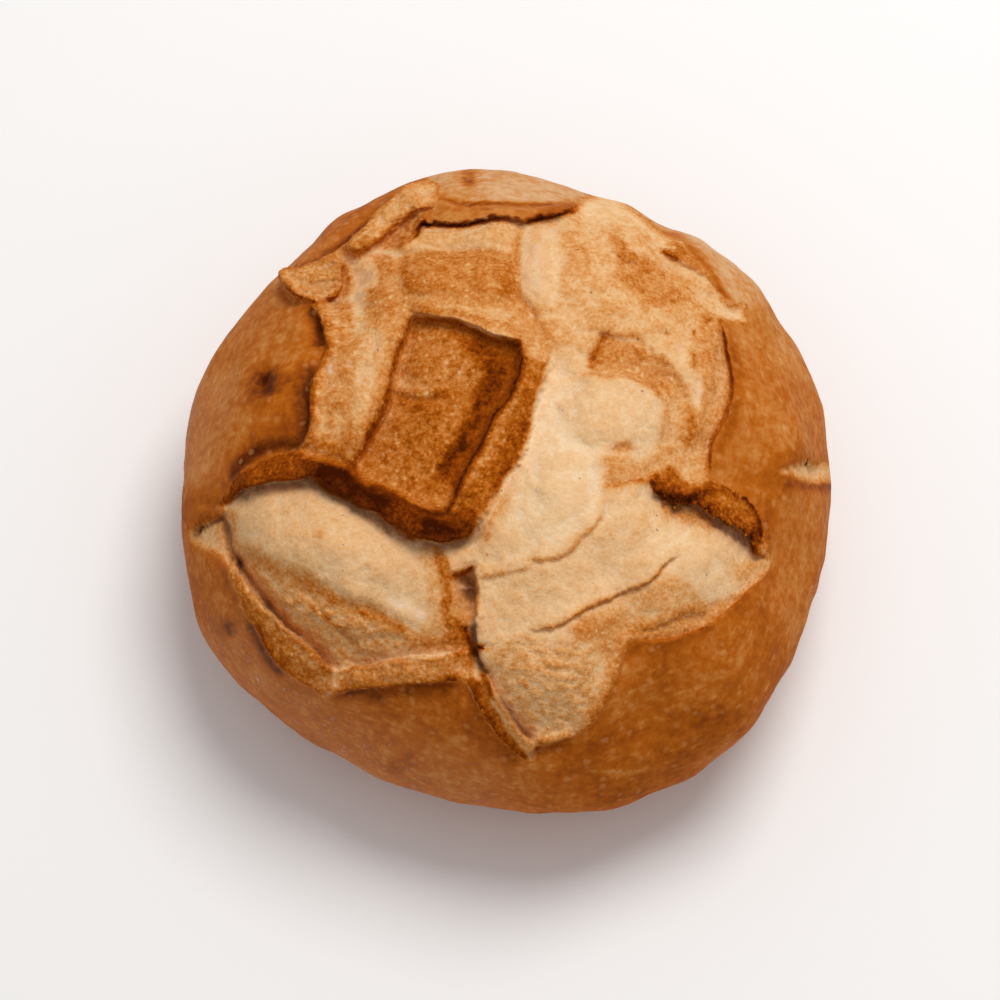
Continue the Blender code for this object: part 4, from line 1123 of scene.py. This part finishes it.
# %% Laying the coats
CHANNELS = {"heat": 0.2, "bake": 0.5, "shade": 0.0, "flour": 0.0}
EDGE_TOAST = 0.55
EDGE_TOAST_WIDTH = (0.2, 2.6)
STROKE_REACH = 2.6
STROKE_END = 0.25

paint = {channel: np.full(len(uv), start) for channel, start in CHANNELS.items()}
for channel, value, edge, outline in AREAS:
    cover = smoothstep(-0.5 * edge, 0.5 * edge, depth_inside(uv + 0.5 * edge * bend, outline, 0.6 * edge))
    paint[channel] += cover * (value - paint[channel])
scorch = (1.0 - smoothstep(*EDGE_TOAST_WIDTH, torn)) * np.maximum(EDGE_TOAST - paint["heat"], 0.0)
paint["heat"] += scorch
for channel, value, half_width, points in STROKES:
    away, _, share, near = line_distance(uv, points, STROKE_REACH * half_width + 1.0)
    cover = np.exp(-(away / half_width) ** 2) * (STROKE_END + (1.0 - STROKE_END) * taper(share))
    paint[channel][near] += cover * (value - paint[channel][near])
for channel, start in CHANNELS.items():
    paint[channel] = start + painted * (paint[channel] - start)
print("the mean heat is", round(float(paint["heat"].mean()), 2))

# %% [markdown]
# One more channel comes from the shape itself: how far a vertex lies above the smooth mean of its
# neighbours. What stands out toasts first, and what lies in a hollow gets painted shade.

# %% What stands out
SMOOTHING_ROUNDS = 10
STANDS_OUT_MM = 0.28

ends = np.array([[v.index for v in e.verts] for e in loaf.edges])
count = np.bincount(ends.ravel(), minlength=len(surface))[:, None]
smooth = surface.copy()
for _ in range(SMOOTHING_ROUNDS):
    total = np.zeros_like(smooth)
    np.add.at(total, ends[:, 0], smooth[ends[:, 1]])
    np.add.at(total, ends[:, 1], smooth[ends[:, 0]])
    smooth = total / count
stand = np.clip(((surface - smooth) * push).sum(axis=1) / STANDS_OUT_MM, -1.0, 1.0) * seen
print("stands out:", round(float((stand > 0.5).mean()), 3), "of the vertices")

# %% [markdown]
# The vertices go to their places, in metres, and the channels are kept on them as attributes, so
# that the material can read them and an exporter can carry them along.

# %% Writing the mesh
for vert, place in zip(loaf.verts, surface):
    vert.co = Vector(place) * MM
bmesh.ops.recalc_face_normals(loaf, faces=loaf.faces)
mesh = bpy.data.meshes.new("loaf_surface")
loaf.to_mesh(mesh)
loaf.free()
mesh.shade_smooth()

masks = {
    "torn_heat_stand": np.stack([0.5 + 0.5 * torn / TORN_REACH, paint["heat"], 0.5 + 0.5 * stand], axis=1),
    "shade_bake_flour_sheen": np.stack([paint["shade"], paint["bake"], paint["flour"]], axis=1),
}
for name, values in masks.items():
    layer = mesh.color_attributes.new(name, "FLOAT_COLOR", "POINT")
    rgba = np.ones((len(values), 4), np.float32)
    rgba[:, :3] = np.clip(values, 0.0, 1.0)
    layer.data.foreach_set("color", rgba.ravel())
ways = mesh.attributes.new("stretched_place", "FLOAT_VECTOR", "POINT")
ways.data.foreach_set("vector", (stretched * MM).astype(np.float32).ravel())
pulls = mesh.attributes.new("streak", "FLOAT", "POINT")
pulls.data.foreach_set("value", streak.astype(np.float32))

bread = bpy.data.objects.new("torn_loaf", mesh)
bpy.context.scene.collection.objects.link(bread)
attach(bread, "root")
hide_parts("loaf")
print(len(mesh.polygons), "triangles")

# %% [markdown]
# ## Colours and a helper for nodes
#
# Bread has no pigment but its own baking: pale wheat crumb, then gold, brown and black as sugars
# and starch brown. Colours are written as screen hex values and turned into the linear light
# that a renderer works in.

# %% Colour and node helpers


def linear(code):
    """A colour for a shader socket from an sRGB hex code."""
    parts = [int(code[i:i + 2], 16) / 255.0 for i in (1, 3, 5)]
    return tuple(c / 12.92 if c <= 0.04045 else ((c + 0.055) / 1.055) ** 2.4 for c in parts) + (1.0,)


material = bpy.data.materials.new("oven_baked_wheat_dough")
material.use_nodes = True
tree = material.node_tree
tree.nodes.clear()


def node(kind, inputs, out=0, **settings):
    """Adds a node with its settings, sets or links its inputs, and gives back one output."""
    made = tree.nodes.new("ShaderNode" + kind)
    for key, value in settings.items():
        setattr(made, key, value)
    for key, value in inputs.items() if isinstance(inputs, dict) else enumerate(inputs):
        if isinstance(value, bpy.types.NodeSocket):
            tree.links.new(value, made.inputs[key])
        else:
            made.inputs[key].default_value = value
    return made.outputs[out]


# %% [markdown]
# ## The baked material
#
# The real thing is white wheat dough, proved, scored and baked on a hot oven floor. To the eye it is
# matt all over: the crumb because it tore, the skin because its starch gelled and dried, with
# only a dull sheen. One material covers the whole loaf, because both are the same dough. It
# reads the paint channels, breaks their edges up with noise so that no border is smooth, and
# colours the skin and the crumb with two ramps from pale to burnt.

# %% Reading the paint
EASED = {"interpolation_type": "SMOOTHSTEP"}

where = node("TexCoord", (), "Object")
way = node("Attribute", (), "Vector", attribute_name="stretched_place")
streak_in = node("Attribute", (), "Fac", attribute_name="streak")
first = node("SeparateColor", (node("Attribute", (), "Color", attribute_name="torn_heat_stand"),)).node
second = node("SeparateColor", (node("Attribute", (), "Color", attribute_name="shade_bake_flour_sheen"),)).node
torn_in, heat_in, stand_in = first.outputs
shade_in, bake_in, flour_and_sheen_in = second.outputs
print("channels in:", len(first.outputs) + len(second.outputs) + 1)

# %% [markdown]
# Dough is uneven at every size, and each size has its cause: hands and gas at two centimetres,
# the crumb's own folds at seven millimetres, bubbles at two, and flour at half a millimetre.

# %% Unevenness: name, place, size in mm, detail
UNEVENNESS = (
    ("hand", where, 22.0, 3.0),
    ("fold", where, 7.0, 4.0),
    ("froth", where, 2.6, 3.0),
    ("grain", where, 1.15, 2.0),
    ("powder", where, 0.45, 2.0),
    ("fibre", way, 2.0, 3.0),
)
rough_by = {}
for name, place, size_mm, detail in UNEVENNESS:
    rough_by[name] = node("TexNoise", {"Vector": place, "Scale": 1.0 / (size_mm * MM), "Detail": detail})


def wander(value, amounts):
    """value plus each unevenness, centred on zero, times its amount."""
    for name, amount in amounts.items():
        value = node("Math", (value, 0.5 * amount), operation="SUBTRACT")
        value = node("Math", (rough_by[name], amount, value), operation="MULTIPLY_ADD")
    return value


ragged_edge = wander(torn_in, {"froth": 0.30, "grain": 0.24})
torn_edge = node("MapRange", (ragged_edge, 0.46, 0.56), **EASED)
print(len(rough_by), "kinds of unevenness")

# %% [markdown]
# Small round things are cells of a Voronoi pattern that are marked in their middle, and only
# where the cell's own random number is high enough. Blisters lift the skin, flecks are blisters
# drawn out round the loaf, bubbles are pale on toasted crumb, and specks are bran.

# %% Blisters, flecks, bubbles and specks: place, size in mm, how far out, chance
MARKS = {
    "blister": ("round", 2.7, (0.55, 0.20), (0.58, 0.95)),
    "fleck": ("drawn", 2.2, (0.6, 0.15), (0.4, 0.9)),
    "bubble": ("round", 2.1, (0.5, 0.1), (0.3, 0.8)),
    "speck": ("round", 4.6, (0.11, 0.05), (0.62, 0.72)),
}
SWIRL_MM = 4.0
SWIRL_REACH_MM = 2.2

swirl = node("TexNoise", {"Vector": where, "Scale": 1.0 / (SWIRL_MM * MM), "Detail": 2.0}, "Color")
swirl = node("VectorMath", {0: swirl, "Scale": SWIRL_REACH_MM * MM}, operation="SCALE")
places = {"round": node("VectorMath", (swirl, where), operation="ADD"),
          "drawn": node("VectorMath", (swirl, way), operation="ADD")}
marks = {}
for name, (place, size_mm, reach, chance) in MARKS.items():
    middle = node("TexVoronoi", {"Vector": places[place], "Scale": 1.0 / (size_mm * MM)})
    drawn_lot = node("SeparateColor", (middle.node.outputs["Color"],))
    near_middle = node("MapRange", (middle, *reach), **EASED)
    lucky = node("MapRange", (drawn_lot, *chance), **EASED)
    marks[name] = node("Math", (near_middle, lucky), operation="MULTIPLY")
print("marks:", *marks)

# %% [markdown]
# The skin is mottled: darker where the oven was hotter, with blotches and flecks. Heat on torn
# crumb is uneven too: it bites on what stands out, spares the bubbles and follows the wrinkles.
# It is liveliest on toasted dough, and calm on raw and on charred dough.

# %% How brown everything is
LIVELY = 2.2
CALM = 0.20
STANDING_HEAT = 0.13

bake = wander(bake_in, {"hand": 0.22, "fold": 0.30, "froth": 0.40, "grain": 0.14})
bake = node("Math", (marks["fleck"], -0.08, bake), operation="MULTIPLY_ADD")
liveliness = node("Math", (0.96, heat_in), operation="SUBTRACT")
liveliness = node("Math", (node("Math", (heat_in, LIVELY), operation="MULTIPLY"), liveliness, CALM),
                  operation="MULTIPLY_ADD")
speckle = wander(0.0, {"froth": 0.34, "grain": 0.66, "powder": 0.42})
heat = wander(heat_in, {"hand": 0.10, "fold": 0.16})
heat = node("Math", (speckle, liveliness, heat), operation="MULTIPLY_ADD")
bubble = node("MapRange", (heat_in, 0.36, 0.56), **EASED)
bubble = node("Math", (marks["bubble"], bubble), operation="MULTIPLY")
uncharred = node("MapRange", (heat_in, 0.68, 0.82, 1.0, 0.0), **EASED)
bubble = node("Math", (bubble, uncharred), operation="MULTIPLY")
heat = node("Math", (bubble, -0.18, heat), operation="MULTIPLY_ADD")
along_streaks = node("Math", (streak_in, 0.52, 0.02), operation="MULTIPLY_ADD")
fibre = node("Math", (rough_by["fibre"], 0.5), operation="SUBTRACT")
heat = node("Math", (fibre, along_streaks, heat), operation="MULTIPLY_ADD")
standing = node("Math", (stand_in, 0.5), operation="SUBTRACT")
heat = node("Math", (standing, STANDING_HEAT, heat), operation="MULTIPLY_ADD")
print(len(tree.nodes), "nodes so far")

# %% [markdown]
# Both ramps go from raw to charred. Torn crumb is cream with a faint peach tint, then gold, orange
# and brown. Skin starts tanner, because it dried before it browned.

# %% Browning
BROWNING = {
    "skin": (bake, ((0.0, "#DFB68C"), (0.18, "#D3A374"), (0.32, "#C8823F"), (0.5, "#B56015"),
                    (0.66, "#994B0E"), (0.82, "#70340B"), (1.0, "#481904"))),
    "crumb": (heat, ((0.0, "#F1D4AF"), (0.12, "#ECC596"), (0.3, "#E3B079"), (0.42, "#D99959"),
                     (0.54, "#CB813F"), (0.66, "#B86519"), (0.78, "#974706"), (0.9, "#672A03"),
                     (1.0, "#3C1301"))),
}
colours = {}
for name, (level, stops) in BROWNING.items():
    colours[name] = node("ValToRGB", (level,))
    band = colours[name].node.color_ramp
    band.elements[0].color = linear(stops[0][1])
    band.elements[1].color = linear(stops[-1][1])
    for place, code in stops[1:-1]:
        band.elements.new(place).color = linear(code)
    print(name, "has", len(band.elements), "browns")

# %% [markdown]
# Coats over the two browns: pale blisters, dark specks, then the flour that was never wetted,
# which on the skin of the flanks also paints their greyish sheen, and painted shade in cracks,
# under lips and in the hollows of torn crumb.

# %% Coats: how much, under what, colour
# flour, and on the skin of the flanks their painted greyish sheen
flour_and_sheen_coat = node("MapRange", (wander(flour_and_sheen_in, {"froth": 0.7, "grain": 0.6}), 0.2, 0.8), **EASED)
# painted shade: the hollows of the torn crumb, plus the shade channel
low = node("Math", (standing, 0.0), operation="MINIMUM")
low = node("Math", (node("Math", (low, -0.45), operation="MULTIPLY"), torn_edge, shade_in),
           operation="MULTIPLY_ADD")
painted_shade = node("MapRange", (wander(low, {"froth": 0.22}), 0.1, 1.0), **EASED)

blisters = node("Math", (marks["blister"], 0.27), operation="MULTIPLY")
skin = node("Mix", {0: blisters, 6: colours["skin"], 7: linear("#DE9F5E")}, 2, data_type="RGBA")
specks = node("Math", (marks["speck"], 0.6), operation="MULTIPLY")
crumb_colour = node("Mix", {0: specks, 6: colours["crumb"], 7: linear("#6F4428")}, 2, data_type="RGBA")
colour = node("Mix", {0: torn_edge, 6: skin, 7: crumb_colour}, 2, data_type="RGBA")
# on the skin the flour channel always shows a little: on the flanks that is their painted sheen
sheen_and_flour_veil = node("MapRange", (torn_edge, 0.0, 1.0, 0.3, 0.0))
sheen_and_flour_veil = node("Math", (sheen_and_flour_veil, flour_and_sheen_in), operation="MULTIPLY")
# EFD9C2 is flour and the flanks' painted greyish sheen; #84481E is painted shade
for coat, strength, at_least, code in ((flour_and_sheen_coat, 0.7, sheen_and_flour_veil, "#EFD9C2"), (painted_shade, 0.66, 0.0, "#84481E")):
    coat = node("Math", (coat, strength, at_least), operation="MULTIPLY_ADD")
    colour = node("Mix", {0: coat, 6: colour, 7: linear(code)}, 2, data_type="RGBA")
print(len(tree.nodes), "nodes with the coats")

# %% [markdown]
# Finally the fine relief. The crumb is rough at half a millimetre; the skin is nearly smooth, with
# the blisters standing a tenth of a millimetre proud, and it has the dull gloss of gelled starch.

# %% Relief and gloss: millimetres of each unevenness
CRUMB_RELIEF_MM = {"froth": 0.36, "grain": 0.26, "powder": 0.14}
SKIN_RELIEF_MM = {"fold": 0.22, "froth": 0.10}
FIBRE_MM = 0.9
BUBBLE_MM = 0.14
BLISTER_MM = 0.07

crumb_relief = wander(0.0, CRUMB_RELIEF_MM)
pulled = node("Math", (fibre, FIBRE_MM), operation="MULTIPLY")
crumb_relief = node("Math", (pulled, streak_in, crumb_relief), operation="MULTIPLY_ADD")
crumb_relief = node("Math", (bubble, BUBBLE_MM, crumb_relief), operation="MULTIPLY_ADD")
skin_relief = node("Math", (marks["blister"], BLISTER_MM, wander(0.0, SKIN_RELIEF_MM)),
                   operation="MULTIPLY_ADD")
fine_relief = node("Mix", {0: torn_edge, 2: skin_relief, 3: crumb_relief})
bumps = node("Bump", {"Height": fine_relief, "Distance": MM, "Strength": 1.0})
gloss = node("MapRange", (torn_edge, 0.0, 1.0, 0.55, 0.9))
shader = node("BsdfPrincipled", {"Base Color": colour, "Roughness": gloss, "Normal": bumps,
                                 "Specular IOR Level": 0.02})
made_of = tree.nodes.new("ShaderNodeOutputMaterial")
tree.links.new(shader, made_of.inputs["Surface"])
mesh.materials.append(material)
print(len(tree.nodes), "nodes in", material.name)

# %% [markdown]
# ## Floor, light and camera
#
# The floor is a board with matt white paint, rolled on: it has no gloss and no pattern, so nothing
# draws the eye away from the loaf, and only its pale colour shows.

# %% Floor
FLOOR_SIZE = 6.0

floor_material = bpy.data.materials.new("matt_white_board")
floor_material.use_nodes = True
board = floor_material.node_tree.nodes["Principled BSDF"]
board.inputs["Base Color"].default_value = linear("#FBFCFE")
board.inputs["Roughness"].default_value = 0.9

floor_cut = bmesh.new()
bmesh.ops.create_grid(floor_cut, x_segments=1, y_segments=1, size=FLOOR_SIZE / 2.0)
floor_mesh = bpy.data.meshes.new("floor")
floor_cut.to_mesh(floor_mesh)
floor_cut.free()
floor = bpy.data.objects.new("floor", floor_mesh)
floor_mesh.materials.append(floor_material)
bpy.context.scene.collection.objects.link(floor)
floor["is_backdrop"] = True
print("a floor of", FLOOR_SIZE, "m")

# %% [markdown]
# A pale sky gives the soft light of a photographer's tent. One broad lamp above and behind the
# loaf models the lips: it throws their shadows towards the eye.

# %% Light
SKY_STRENGTH = 0.46
KEY_WATTS = 17.0
KEY_SIZE = 0.9
KEY_PLACE = (0.35, 0.55, 1.55)

world = bpy.data.worlds.new("tent")
bpy.context.scene.world = world
world.use_nodes = True
world.node_tree.nodes["Background"].inputs["Color"].default_value = linear("#FFFEFD")
world.node_tree.nodes["Background"].inputs["Strength"].default_value = SKY_STRENGTH

lamp = bpy.data.lights.new("key", "AREA")
lamp.shape = "DISK"
lamp.size = KEY_SIZE
lamp.energy = KEY_WATTS
lamp.color = linear("#FFFAF4")[:3]
key = bpy.data.objects.new("key", lamp)
key.location = KEY_PLACE
key.rotation_euler = (-Vector(KEY_PLACE)).to_track_quat("-Z", "Y").to_euler()
bpy.context.scene.collection.objects.link(key)
print("a lamp of", KEY_WATTS, "W, and a sky of", SKY_STRENGTH)

# %% [markdown]
# The camera is the eye that all the drawing was done for: it squarely faces the picture plane,
# at the same distance, with a lens as long as the picture's width asks.

# %% Camera
PICTURE_WIDTH_MM = 308.6
SENSOR_MM = 36.0
AIM_UV = (-2.2, -1.9)

aim = np.array((0.0, 0.0, AIM_HEIGHT)) - centre + AIM_UV[0] * PICTURE_RIGHT + AIM_UV[1] * PICTURE_UP
lens = bpy.data.cameras.new("camera")
lens.sensor_width = SENSOR_MM
lens.lens = SENSOR_MM * EYE_DISTANCE / PICTURE_WIDTH_MM
lens.clip_end = 20.0
camera = bpy.data.objects.new("camera", lens)
camera.location = Vector(aim + EYE_DISTANCE * TOWARDS_EYE) * MM
camera.rotation_euler = Vector(-TOWARDS_EYE).to_track_quat("-Z", "Y").to_euler()
bpy.context.scene.collection.objects.link(camera)
bpy.context.scene.camera = camera
bpy.context.scene.view_settings.view_transform = "Standard"
print("a lens of", round(lens.lens), "mm at", EYE_DISTANCE, "mm")
